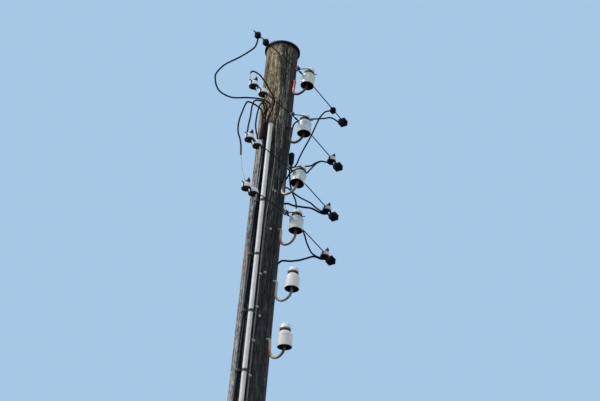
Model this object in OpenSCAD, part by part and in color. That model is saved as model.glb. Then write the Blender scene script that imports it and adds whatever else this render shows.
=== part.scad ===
// Wooden utility pole with six bell insulators, tap clamps and a cable riser.
// Millimetres. Z is up, the ground is at z = 0, and the pole stands on the Z axis.
// The insulator hooks point along +X and the line runs along Y.

/* [Pole] */
// Height of the pole above the ground
pole_h = 7600; // [6500:50:9000]
// Diameter of the pole at the ground
pole_foot_d = 236; // [200:2:280]
// Diameter of the pole at its top
pole_top_d = 213; // [180:1:240]

/* [Cap] */
// How far the cap stands out past the pole on each side
cap_overhang = 11; // [6:1:20]
// Thickness of the cap sheet
cap_sheet = 3; // [2:0.5:5]
// Depth of the turned-down edge of the cap
cap_lip = 15; // [8:1:25]
// Rise of the cap from its edge to its middle
cap_rise = 12; // [6:1:20]
// Diameter of the heads of the cap nails
nail_head_d = 11; // [8:1:16]

/* [Hooks] */
// Diameter of the round hook rod
rod_d = 16; // [14:1:20]
// Distance from the middle of the pole to the middle of an insulator
hook_reach = 243; // [225:1:280]
// Distance between the two legs of a hook, middle to middle
hook_span = 110; // [100:1:125]
// Radius of the bend where the rod leaves the pole
hook_bend_r = 20; // [18:1:30]
// Length of rod screwed into the pole
hook_grip = 95; // [60:5:100]
// How far the rod leaves the pole above the insulator rim
hook_rise = 98; // [70:1:105]
// How far the rod reaches up inside the insulator
pin_depth = 100; // [70:1:103]

/* [Insulators] */
// Diameter of the insulator skirt
skirt_d = 87; // [76:1:92]
// Diameter of the wire groove at the insulator neck
neck_d = 56; // [42:1:60]
// Diameter of the insulator crown
crown_d = 65; // [54:1:72]
// Height of the insulator
insulator_h = 146; // [136:1:160]
// Wall thickness of the insulator skirt
skirt_wall = 8; // [5:0.5:10]
// Height of the straight part of the skirt
skirt_h = 72; // [52:1:76]
// Height of the middle of the wire groove
groove_z = 103; // [98:1:106]

/* [Conductors and ties] */
// Diameter of the line conductor
conductor_d = 7; // [6:0.5:12]
// How far a conductor runs on past its outermost clamp
conductor_end = 45; // [30:5:80]
// Diameter of the tie wire
tie_d = 4; // [3:0.5:5]
// Length of the loose tail of a tie
tie_tail = 20; // [15:1:45]

/* [Clamps] */
// Length of a binding clamp along the conductor
binding_l = 26; // [18:1:36]
// Diameter of a clamp hood
hood_d = 60; // [54:1:70]
// Height of a clamp hood
hood_h = 40; // [34:1:48]
// Wall thickness of a clamp hood
hood_wall = 3; // [2:0.5:4]
// Height of the top of a clamp hood above the middle of the conductor
hood_above = 9; // [8:0.5:20]
// Height of the wide band round the foot of a clamp hood
hood_band = 14; // [8:1:20]
// Width of the metal core of a hooded clamp
core_w = 30; // [26:1:34]
// Height of the metal core of a hooded clamp
core_h = 30; // [24:1:34]
// Diameter of the clamp bolts
bolt_d = 7; // [5:0.5:9]
// Height of a clamp bolt above its hood
bolt_rise = 14; // [8:1:20]
// Length of the bent arm on a long clamp bolt
arm_l = 26; // [20:1:32]
// Height of the pin on the end of a bent arm
arm_pin = 30; // [15:1:35]
// Width of a ribbed tap connector
tap_w = 46; // [38:1:54]
// Length of a ribbed tap connector along the wire
tap_l = 44; // [36:1:52]
// Height of a ribbed tap connector
tap_h = 38; // [32:1:46]
// Height of the top of a tap connector above the middle of the conductor
tap_above = 9; // [8:0.5:16]
// Width of a small tap connector
small_tap_w = 28; // [24:1:34]
// Length of a small tap connector along the wire
small_tap_l = 28; // [24:1:34]
// Height of a small tap connector
small_tap_h = 34; // [28:1:40]
// Depth of the grooves between the ribs of a tap connector
rib_depth = 3; // [1.5:0.5:5]

/* [Riser] */
// Outer diameter of the conduit
conduit_d = 28; // [20:1:40]
// Wall thickness of the conduit
conduit_wall = 2.5; // [1.5:0.5:4]
// Distance from the pole top down to the top end of the conduit
conduit_drop = 690; // [500:10:1600]
// Length of the cap on the top end of the conduit
conduit_cap_l = 40; // [25:1:60]
// Diameter of the cable bundle beside the conduit
bundle_d = 30; // [24:1:36]
// Distance from the pole top down to the top end of the cable bundle
bundle_drop = 750; // [500:10:1600]
// Length of the boot on the end of a bundle
boot_l = 110; // [80:5:140]
// Diameter of the thin cable
thin_d = 8; // [6:0.5:10]
// Width of a riser strap along the pole
strap_w = 18; // [12:1:30]
// Thickness of the strap metal
strap_t = 1.5; // [1:0.25:3]
// Distance between two riser straps
strap_pitch = 385; // [300:5:600]
// Distance from the pole top down to the highest riser strap
strap_drop = 1275; // [900:5:2100]
// Distance between two clips of the thin cable
clip_pitch = 222; // [150:2:400]
// Distance from the pole top down to the first clip place of the thin cable
clip_drop = 1120; // [1050:5:2100]
// Diameter of the thinner tap cables
tap_cable_d = 9; // [7:0.5:10]
// Diameter of the thicker tap cables
main_cable_d = 12; // [9:0.5:13]
// Diameter of the bare wire at the end of the lowest left tap cable
bare_d = 4; // [3:0.5:6]

/* [Fits] */
// Gap between a piece and what it rests on
seat = 0.3; // [0.2:0.05:0.6]

/* [Hidden] */
$fn = 48;
// Distance from the pole top down to each insulator rim, from the top insulator down
rim_drop = [396, 771, 1166, 1491, 1888, 2280];
rim_z = [for (d = rim_drop) pole_h - d];
// Turn of each hook round the pole
hook_turn = [0, 0, 0, 1, 4, -2];
// Lean of each hook along the line
hook_lean = [-6, 0, -13, 0, 0, 4];
// How far each rod leaves the pole below its common height
hook_lower = [0, 0, 18, 49, 13, 14];
// How far each hook hangs below the insulator rim
hook_drop = [44, 44, 66, 78, 61, 48];
// Places of the clamps along each conductor, measured from the insulator neck
left_a = [518, 500, 484, 466];
left_b = [432, 403, 404, 396];
right_a = [362, 392, 377, 393];
right_b = [492, 472, 461, 460];
bind_s = [92, 105, 80, 75];
extra_bind_s = 262;
// Distance from the conductor to the tie leg in a binding clamp
binding_x = 12;
// Fall of the conductors away from the pole, and their turn in plan
left_fall = [3.8, 3.6, 3, 4.6];
right_fall = [3.8, 4.3, 4.3, 4.6];
left_turn = 2;
right_turn = 4;
// Places of the riser pieces round the pole, as angles from +X
conduit_a = -63;
bundle_a = -81.5;
thin_a = -49;
rear_a = 92;
side_boot_a = 42;
// Distance from the pole top down to the side boot, and its length
side_boot_drop = 828;
side_boot_l = 60;
side_boot_high = pole_h - side_boot_drop;
side_boot_low = side_boot_high - side_boot_l;
side_boot_d = 32;
// Height where a riser piece starts above the ground
riser_foot = 5;
// Top ends of the riser pieces
rear_drop = 900;
rear_top = pole_h - rear_drop;
conduit_top = pole_h - conduit_drop;
bundle_top = pole_h - bundle_drop;
strap_top = pole_h - strap_drop;
clip_top = pole_h - clip_drop;

// Routes of the tap cables, as points measured from the middle of the pole top
route_a = [[227, -516, -352], [228, -515, -372], [216, -508, -394], [188, -502, -416], [115, -530, -470],
    [30, -570, -525], [-20, -580, -575], [-35, -570, -605], [-40, -540, -650], [-25, -505, -680],
    [20, -455, -700], [100, -405, -700], [158, -362, -702], [155, -290, -670], [140, -230, -655],
    [85, -190, -642], [50, -150, -615], [18, -122, -620], [10, -117, -650], [10, -117, -695]];
route_b_bare = [[225, -537, -700], [219, -532, -672], [206, -520, -638], [192, -506, -610]];
route_b = [[195, -508, -618], [188, -480, -580], [185, -415, -560],
    [170, -360, -550], [155, -305, -545], [130, -240, -540], [105, -165, -532], [75, -118, -540],
    [54, -112, -590], [34, -113, -640], [28, -117, -695]];
route_e = [[222, -505, -1072], [212, -492, -1040], [198, -476, -1000], [185, -458, -960], [170, -435, -890],
    [155, -415, -805], [147, -390, -735], [145, -345, -700], [140, -290, -675], [118, -235, -670],
    [75, -200, -670], [40, -168, -640], [15, -145, -640], [10, -134, -695]];
route_d_bare = [[222, -468, -1412], [210, -474, -1378], [190, -475, -1315], [175, -475, -1255],
    [163, -475, -1185]];
route_d = [[165, -475, -1200], [155, -472, -1130], [143, -475, -1075], [125, -480, -1015], [118, -475, -935],
    [120, -455, -840], [115, -425, -760], [110, -395, -730], [112, -335, -715], [105, -270, -705],
    [70, -215, -695], [45, -165, -675], [32, -140, -660], [28, -134, -695]];
route_g = [[182, 350, -337], [172, 324, -349], [158, 300, -372], [146, 275, -422], [140, 255, -480],
    [130, 225, -585], [122, 200, -660], [115, 170, -740], [108, 145, -815], [106, 128, -870],
    [103, 108, -910], [97, 92, -918], [97, 90, -895]];
route_h = [[176, 476, -352], [168, 446, -358], [157, 404, -355], [149, 373, -363], [143, 334, -392],
    [128, 249, -447], [116, 170, -500], [105, 110, -545], [90, 78, -590], [65, 95, -650],
    [30, 122, -780], [-2, 131, -860], [-4, 131, -910]];
route_i = [[180, 390, -710], [176, 377, -734], [162, 352, -742], [148, 318, -752], [135, 280, -785],
    [125, 245, -825], [115, 190, -860], [103, 140, -902], [75, 105, -950], [40, 120, -970], [0, 130, -985]];
route_i_fork = [[148, 318, -752], [150, 270, -800], [170, 200, -885], [200, 120, -980], [210, 65, -1040],
    [204, 42, -1067]];
route_j = [[88, 76, -895], [89, 77, -928], [94, 76, -965], [103, 74, -1015], [120, 62, -1075],
    [145, 52, -1135], [163, 46, -1175], [191, 40, -1232], [208, 34, -1294], [210, 30, -1340], [204, 28, -1390]];
route_k = [[188, 378, -1104], [183, 366, -1131], [164, 342, -1130], [140, 310, -1112], [125, 270, -1095],
    [95, 200, -1085], [80, 145, -1075], [68, 112, -1060], [40, 120, -1040], [0, 130, -1025]];
route_l = [[174, 384, -1104], [170, 374, -1134], [148, 345, -1132], [125, 290, -1126], [105, 240, -1140],
    [90, 200, -1152], [75, 165, -1160], [62, 130, -1162], [35, 122, -1160], [0, 130, -1155]];
route_m = [[187, 394, -1430], [180, 380, -1456], [160, 350, -1464], [150, 300, -1462], [163, 250, -1457],
    [182, 195, -1447], [207, 140, -1437], [224, 90, -1428], [222, 55, -1410], [203, 38, -1391]];
route_n = [[173, 400, -1430], [166, 388, -1460], [148, 362, -1458], [136, 330, -1464], [118, 280, -1500],
    [102, 235, -1532], [85, 175, -1565], [75, 140, -1578], [62, 118, -1588], [35, 122, -1595], [0, 130, -1600]];

pole_taper = atan((pole_foot_d - pole_top_d) / 2 / pole_h);
rod_r = rod_d / 2;
leg_x = hook_reach - hook_span;
groove_r = neck_d / 2;
tie_ring_r = groove_r + seat + tie_d / 2;
wire_x = groove_r + tie_d + 2 * seat + conductor_d / 2;
hood_top = hood_above;
hood_step = 2.5;
conduit_off = seat + conduit_d / 2;
bundle_off = seat + bundle_d / 2;
thin_off = seat + thin_d / 2;
straps = floor((strap_top - 150) / strap_pitch);
clips = floor((clip_top - 100) / clip_pitch);

function pole_r(z) = (pole_foot_d + (pole_top_d - pole_foot_d) * z / pole_h) / 2;
function arc2(cx, cz, r, a0, a1, n) = [for (i = [0:n]) let (a = a0 + (a1 - a0) * i / n) [cx + r * cos(a), cz + r * sin(a)]];
function spot(a, r, z) = [r * cos(a), r * sin(a), z];

// Sweep: one closed tube of n sides along a list of points
function unit3(v) = v / norm(v);
function tangent(p, i) = unit3(p[min(i + 1, len(p) - 1)] - p[max(i - 1, 0)]);
function side_of(t) = unit3(abs(t[2]) < 0.8 ? cross(t, [0, 0, 1]) : cross(t, [1, 0, 0]));
function carry(s, t) = unit3(s - (s * t) * t);
function sides_along(p, i) = i == 0 ? [side_of(tangent(p, 0))]
    : let (before = sides_along(p, i - 1)) concat(before, [carry(before[i - 1], tangent(p, i))]);
function ease(p, i, u) = let (a = p[max(i - 1, 0)], b = p[i], c = p[i + 1], d = p[min(i + 2, len(p) - 1)])
    0.5 * ((2 * b) + (c - a) * u + (2 * a - 5 * b + 4 * c - d) * u * u + (3 * b - a - 3 * c + d) * u * u * u);
function smooth_up(p, m) = [for (q = smooth(p, m)) q + [0, 0, pole_h]];
function smooth(p, m) = concat([for (i = [0:len(p) - 2]) for (k = [0:m - 1]) ease(p, i, k / m)], [p[len(p) - 1]]);

module sweep(p, d, n = 8) {
    s = sides_along(p, len(p) - 1);
    rings = [for (i = [0:len(p) - 1]) let (t = tangent(p, i), a = s[i], b = cross(t, a))
        for (k = [0:n - 1]) p[i] + d / 2 * (cos(360 * k / n) * a + sin(360 * k / n) * b)];
    last = (len(p) - 1) * n;
    polyhedron(rings, concat(
        [[for (k = [0:n - 1]) k]],
        [[for (k = [0:n - 1]) last + n - 1 - k]],
        [for (i = [0:len(p) - 2]) for (k = [0:n - 1])
            [i * n + k, (i + 1) * n + k, (i + 1) * n + (k + 1) % n, i * n + (k + 1) % n]]));
}

// A round rod between two points
module rod(p, q, d) {
    v = q - p;
    translate(p)
        rotate([0, acos(v[2] / norm(v)), atan2(v[1], v[0])])
            cylinder(h = norm(v), d = d);
}

// A round bar that lies along the pole, from height z0 to z1
module along(a, off, d, z0, z1) {
    rotate([0, 0, a])
        translate([pole_r(z0) + off, 0, z0])
            rotate([0, -pole_taper, 0])
                cylinder(h = z1 - z0, d = d);
}

// Places
module at_hook(i) {
    translate([0, 0, rim_z[i] + hook_rise])
        rotate([0, 0, hook_turn[i]])
            rotate([hook_lean[i], 0, 0])
                children();
}
module at_insulator(i) {
    at_hook(i)
        translate([hook_reach, 0, -hook_rise])
            children();
}
function turn_z(p, a) = [p[0] * cos(a) - p[1] * sin(a), p[0] * sin(a) + p[1] * cos(a), p[2]];
function turn_x(p, a) = [p[0], p[1] * cos(a) - p[2] * sin(a), p[1] * sin(a) + p[2] * cos(a)];
function on_insulator(i, p) = [0, 0, rim_z[i] + hook_rise]
    + turn_z(turn_x(p + [hook_reach, 0, -hook_rise], hook_lean[i]), hook_turn[i]);
function wire_start(i) = on_insulator(i, [-wire_x, 0, groove_z]);
function on_left(i, p) = wire_start(i) + turn_z(turn_x(p, left_fall[i]), left_turn);
module at_left(i, s) {
    translate(wire_start(i))
        rotate([0, 0, left_turn])
            rotate([left_fall[i], 0, 0])
                translate([0, -s, 0])
                    children();
}
module at_right(i, s) {
    translate(wire_start(i))
        rotate([0, 0, right_turn])
            rotate([-right_fall[i], 0, 0])
                translate([0, s, 0])
                    children();
}

// Pole
module pole_shaft() {
    color("BurlyWood")
        difference() {
            cylinder(h = pole_h, d1 = pole_foot_d, d2 = pole_top_d, $fn = 96);
            for (i = [0:5])
                at_hook(i)
                    translate([pole_r(rim_z[i]) - hook_grip - 2, 0, -hook_lower[i]])
                        rotate([0, 90, 0])
                            cylinder(h = hook_grip + 30, d = rod_d + 2 * seat);
            for (k = [0:2])
                rotate([0, 0, 120 * k + 20])
                    translate([pole_top_d / 2 - 25, 0, pole_h - 40])
                        cylinder(h = 60, d = 4 + 2 * seat);
        }
}

module pole_cap() {
    color("DimGray")
        difference() {
            rotate_extrude($fn = 96)
                polygon([
                    [0, pole_h + seat],
                    [pole_top_d / 2 + cap_overhang - cap_sheet, pole_h + seat],
                    [pole_top_d / 2 + cap_overhang - cap_sheet, pole_h - cap_lip],
                    [pole_top_d / 2 + cap_overhang, pole_h - cap_lip],
                    [pole_top_d / 2 + cap_overhang, pole_h + seat + cap_sheet],
                    [0, pole_h + seat + cap_sheet + cap_rise]]);
            for (k = [0:2])
                rotate([0, 0, 120 * k + 20])
                    translate([pole_top_d / 2 - 25, 0, pole_h - 1])
                        cylinder(h = 60, d = 4 + 2 * seat);
        }
}

module cap_nails() {
    cone = cap_rise / (pole_top_d / 2 + cap_overhang);
    head_z = pole_h + seat + cap_sheet + cone * (cap_overhang + 25 + nail_head_d / 2) + seat;
    color("Gray")
        for (k = [0:2])
            rotate([0, 0, 120 * k + 20])
                translate([pole_top_d / 2 - 25, 0, 0]) {
                    translate([0, 0, pole_h - 38])
                        cylinder(h = head_z - pole_h + 39, d = 4);
                    translate([0, 0, head_z])
                        cylinder(h = 2.5, d = nail_head_d);
                }
}

// Hooks
module hook(i) {
    start = pole_r(rim_z[i]) - hook_grip;
    top = -hook_lower[i];
    bowl = hook_span / 2 - hook_rise - hook_drop[i];
    color("LightSlateGray")
        at_hook(i) {
            translate([start, 0, top])
                rotate([0, 90, 0])
                    cylinder(h = leg_x - hook_bend_r - start + 0.5, d = rod_d - 0.1);
            translate([leg_x - hook_bend_r, 0, top - hook_bend_r])
                rotate([90, 0, 0])
                    rotate_extrude(angle = 90)
                        translate([hook_bend_r, 0])
                            circle(r = rod_r);
            translate([leg_x, 0, bowl - 0.5])
                cylinder(h = top - hook_bend_r - bowl + 1, d = rod_d - 0.1);
            translate([leg_x + hook_span / 2, 0, bowl])
                rotate([90, 0, 0])
                    rotate([0, 0, 180])
                        rotate_extrude(angle = 180)
                            translate([hook_span / 2, 0])
                                circle(r = rod_r);
            translate([hook_reach, 0, bowl - 0.5])
                cylinder(h = pin_depth - hook_rise - bowl + 0.5, d = rod_d - 0.1);
        }
}

// Insulators
module insulator(i) {
    rs = skirt_d / 2;
    rc = crown_d / 2;
    bore = rod_r + seat;
    color("White")
        at_insulator(i)
            rotate_extrude($fn = 72)
                polygon(concat(
                    [[rs - skirt_wall + 2, 0]],
                    arc2(rs - 3, 3, 3, -90, 0, 4),
                    arc2(rs - 12, skirt_h, 12, 0, 60, 5),
                    arc2(groove_r + 8, groove_z, 8, 225, 135, 5),
                    arc2(rc - 7, groove_z + 15, 7, -40, 30, 4),
                    arc2(rc - 20, insulator_h - 20, 20, 40, 75, 4),
                    [[0, insulator_h],
                     [0, pin_depth + seat + 2],
                     [bore, pin_depth + seat + 2],
                     [bore, 36],
                     [bore + 6, 30],
                     [bore + 6, 14],
                     [bore + 9, 11],
                     [bore + 12, 14],
                     [bore + 13, 44],
                     [rs - skirt_wall - 7, 50],
                     [rs - skirt_wall, 40]]));
}

// Tie of a neck: a ring in the groove
module tie(i) {
    color("DarkSlateGray")
        at_insulator(i)
            translate([0, 0, groove_z])
                rotate_extrude()
                    translate([tie_ring_r, 0])
                        circle(d = tie_d, $fn = 16);
}

// Loose tail of a tie
module tail_of(i) {
    color("DarkSlateGray")
        at_insulator(i)
            translate([0, 0, groove_z])
                rod([tie_ring_r * cos(35), tie_ring_r * sin(35), 0],
                    [(tie_ring_r + tie_tail) * cos(35), (tie_ring_r + tie_tail) * sin(35), 4], tie_d * 1.5);
}

// Leg of a tie, running back along the conductor

module leg_of(i) {
    p = on_insulator(i, [tie_ring_r, 0, groove_z]);
    q = on_insulator(i, [tie_ring_r - 2, -crown_d / 2 - 9, groove_z]);
    r = on_left(i, [binding_x, -(bind_s[i] - binding_l / 2 - seat - tie_d / 2), 2]);
    color("DarkSlateGray") {
        rod(p, q, tie_d - 0.1);
        translate(q)
            sphere(d = tie_d, $fn = 24);
        rod(q, r, tie_d - 0.1);
    }
}

module tie_with_leg(i) {
    tie(i);
    tail_of(i);
    leg_of(i);
}

// Conductors, each one piece through its neck
module conductor(i) {
    color("DarkSlateGray") {
        at_left(i, left_a[i] + conductor_end)
            rotate([-90, 0, 0])
                cylinder(h = left_a[i] + conductor_end, d = conductor_d, $fn = 24);
        translate(wire_start(i))
            sphere(d = conductor_d + seat, $fn = 24);
        at_right(i, 0)
            rotate([-90, 0, 0])
                cylinder(h = right_b[i] + conductor_end, d = conductor_d, $fn = 24);
    }
}

// Small binding clamp on a conductor
module binding_clamp() {
    difference() {
        translate([-conductor_d / 2 - 4.5, -binding_l / 2, -10])
            cube([binding_x + conductor_d / 2 + 12, binding_l, 20]);
        rotate([90, 0, 0])
            cylinder(h = 60, d = conductor_d + 2 * seat, center = true, $fn = 24);
    }
}

module binding_clamps() {
    color("Silver") {
        for (i = [0:3])
            at_left(i, bind_s[i])
                binding_clamp();
        at_left(0, extra_bind_s)
            binding_clamp();
    }
}

// Hooded clamp: the hood, a dome on a wider band, open below, with a slot for the conductor
module hood() {
    r = hood_d / 2;
    low = hood_top - hood_h;
    difference() {
        rotate_extrude()
            polygon(concat(
                [[r - hood_wall, low], [r, low], [r, low + hood_band],
                 [r - hood_step, low + hood_band + hood_step]],
                arc2(r - hood_step - 12, hood_top - 13, 12, 0, 90, 6),
                [[bolt_d / 2 + seat, hood_top - 1],
                 [bolt_d / 2 + seat, hood_top - 1 - hood_wall]],
                arc2(r - hood_step - 12, hood_top - 13, 12 - hood_wall, 90, 0, 6),
                [[r - hood_step - hood_wall, low + hood_band + hood_step],
                 [r - hood_wall, low + hood_band]]));
        translate([-conductor_d / 2 - 1.5, -hood_d, low - 1])
            cube([conductor_d + 3, 2 * hood_d, 1 - low + conductor_d / 2 + 1]);
    }
}

module core() {
    top = hood_top - 1 - hood_wall - seat;
    difference() {
        union() {
            translate([-core_w / 2, -core_w / 2, top - core_h])
                cube([core_w, core_w, core_h - 6]);
            translate([0, 0, top - 7])
                cylinder(h = 7, d = core_w);
        }
        rotate([90, 0, 0])
            cylinder(h = 3 * core_w, d = conductor_d + 2 * seat, center = true, $fn = 24);
    }
}

// Clamp bolt; a long one carries a bent arm that ends in an upright pin
module clamp_bolt(long) {
    low = hood_top - 1 - hood_wall;
    high = hood_top + (long ? bolt_rise : 2);
    translate([0, 0, low])
        cylinder(h = high - low, d = bolt_d);
    translate([0, 0, hood_top - 1 + seat])
        cylinder(h = 4, d = bolt_d + 6, $fn = 6);
    if (long) {
        translate([0, -bolt_d / 2, high + bolt_d / 2 - 1])
            rotate([-90, 0, 0])
                cylinder(h = arm_l, d = bolt_d);
        translate([0, arm_l - 6, high - 2])
            cylinder(h = bolt_d + 4, d = bolt_d + 5, $fn = 6);
        translate([0, arm_l - 6, high + bolt_d / 2])
            cylinder(h = arm_pin, d = bolt_d - 1);
    }
}

module each_left_hood() {
    for (i = [1:3]) {
        at_left(i, left_a[i])
            children();
        at_left(i, left_b[i])
            children();
    }
}
module each_right_hood() {
    for (i = [1:3])
        at_right(i, right_a[i])
            children();
}

module clamp_hoods() {
    color("WhiteSmoke") {
        each_left_hood()
            hood();
        each_right_hood()
            hood();
    }
}
module clamp_cores() {
    color("SaddleBrown") {
        each_left_hood()
            core();
        each_right_hood()
            core();
    }
}
module clamp_bolts() {
    color("DimGray") {
        for (i = [1:3]) {
            at_left(i, left_a[i])
                clamp_bolt(true);
            at_left(i, left_b[i])
                clamp_bolt(false);
            at_right(i, right_a[i])
                clamp_bolt(true);
        }
    }
}

// Ribbed tap connector of width w, length l and height h, gripping the conductor near its top
module tap_body(w, l, h) {
    low = tap_above - h;
    difference() {
        translate([-w / 2, -l / 2, low])
            cube([w, l, h]);
        for (k = [-1:1])
            for (s = [-1, 1])
                translate([s * w / 2 - rib_depth, k * l / 4 - l / 16, low - 1])
                    cube([2 * rib_depth, l / 8, h + 2]);
        rotate([90, 0, 0])
            cylinder(h = 3 * l, d = conductor_d + 2 * seat, center = true, $fn = 24);
        translate([0, 0, conductor_d / 2 + 3])
            cylinder(h = h, d = bolt_d + 2 * seat);
    }
}

module each_small_tap() {
    at_left(0, left_a[0])
        children();
    at_left(0, left_b[0])
        children();
    at_right(0, right_a[0])
        children();
}
module each_large_tap() {
    for (i = [0:3])
        at_right(i, right_b[i])
            children();
}

module tap_connectors() {
    color("Black") {
        each_small_tap()
            tap_body(small_tap_w, small_tap_l, small_tap_h);
        each_large_tap()
            tap_body(tap_w, tap_l, tap_h);
    }
}

module tap_bolt(rise) {
    translate([0, 0, conductor_d / 2 + 3.5])
        cylinder(h = tap_above + rise - conductor_d / 2 - 3.5, d = bolt_d);
    translate([0, 0, tap_above + seat])
        cylinder(h = 5, d = bolt_d + 6, $fn = 6);
}

module tap_bolts() {
    color("DimGray") {
        each_small_tap()
            tap_bolt(bolt_rise - 4);
        each_large_tap()
            tap_bolt(bolt_rise + 4);
    }
}

// Space that a tap cable keeps clear of, round each clamp, conductor and the pole
module core_space() {
    top = hood_top - 1 - hood_wall;
    translate([-core_w / 2 - seat, -core_w / 2 - seat, top - core_h - 2 * seat])
        cube([core_w + 2 * seat, core_w + 2 * seat, hood_h]);
}
module tap_space(w, l, h) {
    translate([-w / 2 - seat, -l / 2 - seat, tap_above - h - seat])
        cube([w + 2 * seat, l + 2 * seat, h + 2 * seat]);
}
module bolt_space() {
    translate([0, 0, hood_top - 6])
        cylinder(h = bolt_rise + bolt_d + 6, d = bolt_d + 6 + 2 * seat);
    translate([-bolt_d / 2 - 3 - seat, 0, hood_top + 4])
        cube([bolt_d + 6 + 2 * seat, arm_l + 4, bolt_rise + bolt_d + arm_pin]);
    translate([0, 0, hood_top - hood_h])
        cylinder(h = hood_h + seat, d = hood_d + 2 * seat);
}
module line_space(i, s) {
    at_left(i, s)
        rotate([-90, 0, 0])
            cylinder(h = s / 2, d = conductor_d + 2 * seat);
}
module pole_space() {
    cylinder(h = pole_h, d1 = pole_foot_d + 2 * seat, d2 = pole_top_d + 2 * seat, $fn = 96);
}

module tap_cables_left() {
    color("Black")
        difference() {
            union() {
                sweep(smooth_up(route_a, 2), tap_cable_d);
                sweep(smooth_up(route_b_bare, 2), bare_d);
                sweep(smooth_up(route_b, 2), tap_cable_d);
                sweep(smooth_up(route_e, 2), tap_cable_d);
                sweep(smooth_up(route_d, 2), tap_cable_d);
                sweep(smooth_up(route_d_bare, 2), bare_d);
            }
            at_left(0, left_a[0])
                tap_space(small_tap_w, small_tap_l, small_tap_h);
            line_space(1, left_a[1] + conductor_end);
            at_left(1, left_a[1])
                bolt_space();
            at_left(2, left_a[2])
                bolt_space();
            at_left(3, left_a[3])
                bolt_space();
            boot_space();
            pole_space();
        }
}

module tap_cables_right() {
    color("Black")
        difference() {
            union() {
                sweep(smooth_up(route_g, 2), tap_cable_d);
                sweep(smooth_up(route_h, 2), tap_cable_d);
                sweep(smooth_up(route_i, 2), tap_cable_d);
                sweep(smooth_up(route_i_fork, 2), tap_cable_d);
                sweep(smooth_up(route_j, 2), tap_cable_d);
                sweep(smooth_up(route_k, 2), tap_cable_d);
                sweep(smooth_up(route_l, 2), main_cable_d);
                sweep(smooth_up(route_m, 2), tap_cable_d);
                sweep(smooth_up(route_n, 2), main_cable_d);
            }
            at_right(0, right_a[0])
                tap_space(small_tap_w, small_tap_l, small_tap_h);
            at_right(0, right_b[0])
                tap_space(tap_w, tap_l, tap_h);
            for (i = [1:3])
                at_right(i, right_a[i])
                    core_space();
            for (i = [2:3])
                at_right(i, 0)
                    rotate([-90, 0, 0])
                        cylinder(h = right_a[i] / 4, d = conductor_d + 2 * seat);
            along(rear_a, bundle_off, bundle_d + 2 * seat, riser_foot, rear_top + seat);
            side_boot_space();
            pole_space();
        }
}

// Riser
module conduit() {
    color("Gainsboro")
        difference() {
            along(conduit_a, conduit_off, conduit_d, riser_foot, conduit_top - conduit_cap_l / 2);
            along(conduit_a, conduit_off, conduit_d - 2 * conduit_wall, riser_foot - 10, conduit_top + 10);
        }
}

module conduit_cap() {
    low = conduit_top - conduit_cap_l / 2 + seat;
    color("WhiteSmoke") {
        along(conduit_a, conduit_off, conduit_d, low, low + conduit_cap_l / 2);
        along(conduit_a, conduit_off, conduit_d - 2 * conduit_wall - 2 * seat, low - conduit_cap_l / 2, low + 2);
    }
}

module cable_bundle() {
    color("Black")
        along(bundle_a, bundle_off, bundle_d, riser_foot, bundle_top);
}

module boot_shape(gap) {
    along(bundle_a, bundle_off + 4, bundle_d + 8 + 2 * gap, bundle_top - boot_l / 2, bundle_top + boot_l / 2);
    rotate([0, 0, bundle_a])
        translate([pole_r(bundle_top + boot_l / 2) + bundle_off + 4, 0, bundle_top + boot_l / 2])
            sphere(d = bundle_d + 8.2 + 2 * gap);
}
module boot_space() {
    boot_shape(seat);
}

module bundle_boot() {
    color("MidnightBlue")
        difference() {
            boot_shape(0);
            along(bundle_a, bundle_off, bundle_d + 2 * seat, bundle_top - boot_l, bundle_top + seat);
            translate([0, 0, bundle_top - boot_l])
                cylinder(h = 2 * boot_l, r = pole_r(bundle_top) + seat);
        }
}

module rear_bundle() {
    color("Black")
        along(rear_a, bundle_off, bundle_d, riser_foot, rear_top);
}

module side_boot_shape(gap) {
    along(side_boot_a, side_boot_d / 2 + 1, side_boot_d + 2 * gap, side_boot_low, side_boot_high);
    for (z = [side_boot_low, side_boot_high])
        translate(spot(side_boot_a, pole_r(z) + side_boot_d / 2 + 1, z))
            sphere(d = side_boot_d + 0.2 + 2 * gap);
}
module side_boot_space() {
    side_boot_shape(seat);
}

module side_boot() {
    color("Black")
        difference() {
            side_boot_shape(0);
            pole_space();
        }
}

// One riser strap across the bundle and the conduit, with two ears on the pole
module strap_outline(z) {
    pr = pole_r(z) + seat;
    difference() {
        union() {
            rotate(conduit_a)
                translate([pole_r(z) + conduit_off, 0])
                    circle(d = conduit_d + 2 * seat + 2 * strap_t);
            rotate(bundle_a)
                translate([pole_r(z) + bundle_off, 0])
                    circle(d = bundle_d + 2 * seat + 2 * strap_t);
            intersection() {
                circle(r = pr + strap_t, $fn = 96);
                polygon([[0, 0], 2 * pr * [cos(bundle_a - 17), sin(bundle_a - 17)], 2 * pr * [cos(conduit_a + 10.8), sin(conduit_a + 10.8)]]);
            }
        }
        circle(r = pr, $fn = 96);
        rotate(conduit_a)
            translate([pole_r(z) + conduit_off, 0])
                circle(d = conduit_d + 2 * seat);
        rotate(bundle_a)
            translate([pole_r(z) + bundle_off, 0])
                circle(d = bundle_d + 2 * seat);
    }
}

module riser_straps() {
    color("Gray")
        for (k = [0:straps])
            let (z = strap_top - k * strap_pitch)
                translate([0, 0, z - strap_w / 2])
                    linear_extrude(strap_w)
                        strap_outline(z);
}

module rear_strap_outline(z) {
    pr = pole_r(z) + seat;
    difference() {
        union() {
            rotate(rear_a)
                translate([pole_r(z) + bundle_off, 0])
                    circle(d = bundle_d + 2 * seat + 2 * strap_t);
            intersection() {
                circle(r = pr + strap_t, $fn = 96);
                polygon([[0, 0], 2 * pr * [cos(rear_a - 17), sin(rear_a - 17)], 2 * pr * [cos(rear_a + 17), sin(rear_a + 17)]]);
            }
        }
        circle(r = pr, $fn = 96);
        rotate(rear_a)
            translate([pole_r(z) + bundle_off, 0])
                circle(d = bundle_d + 2 * seat);
    }
}

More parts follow.
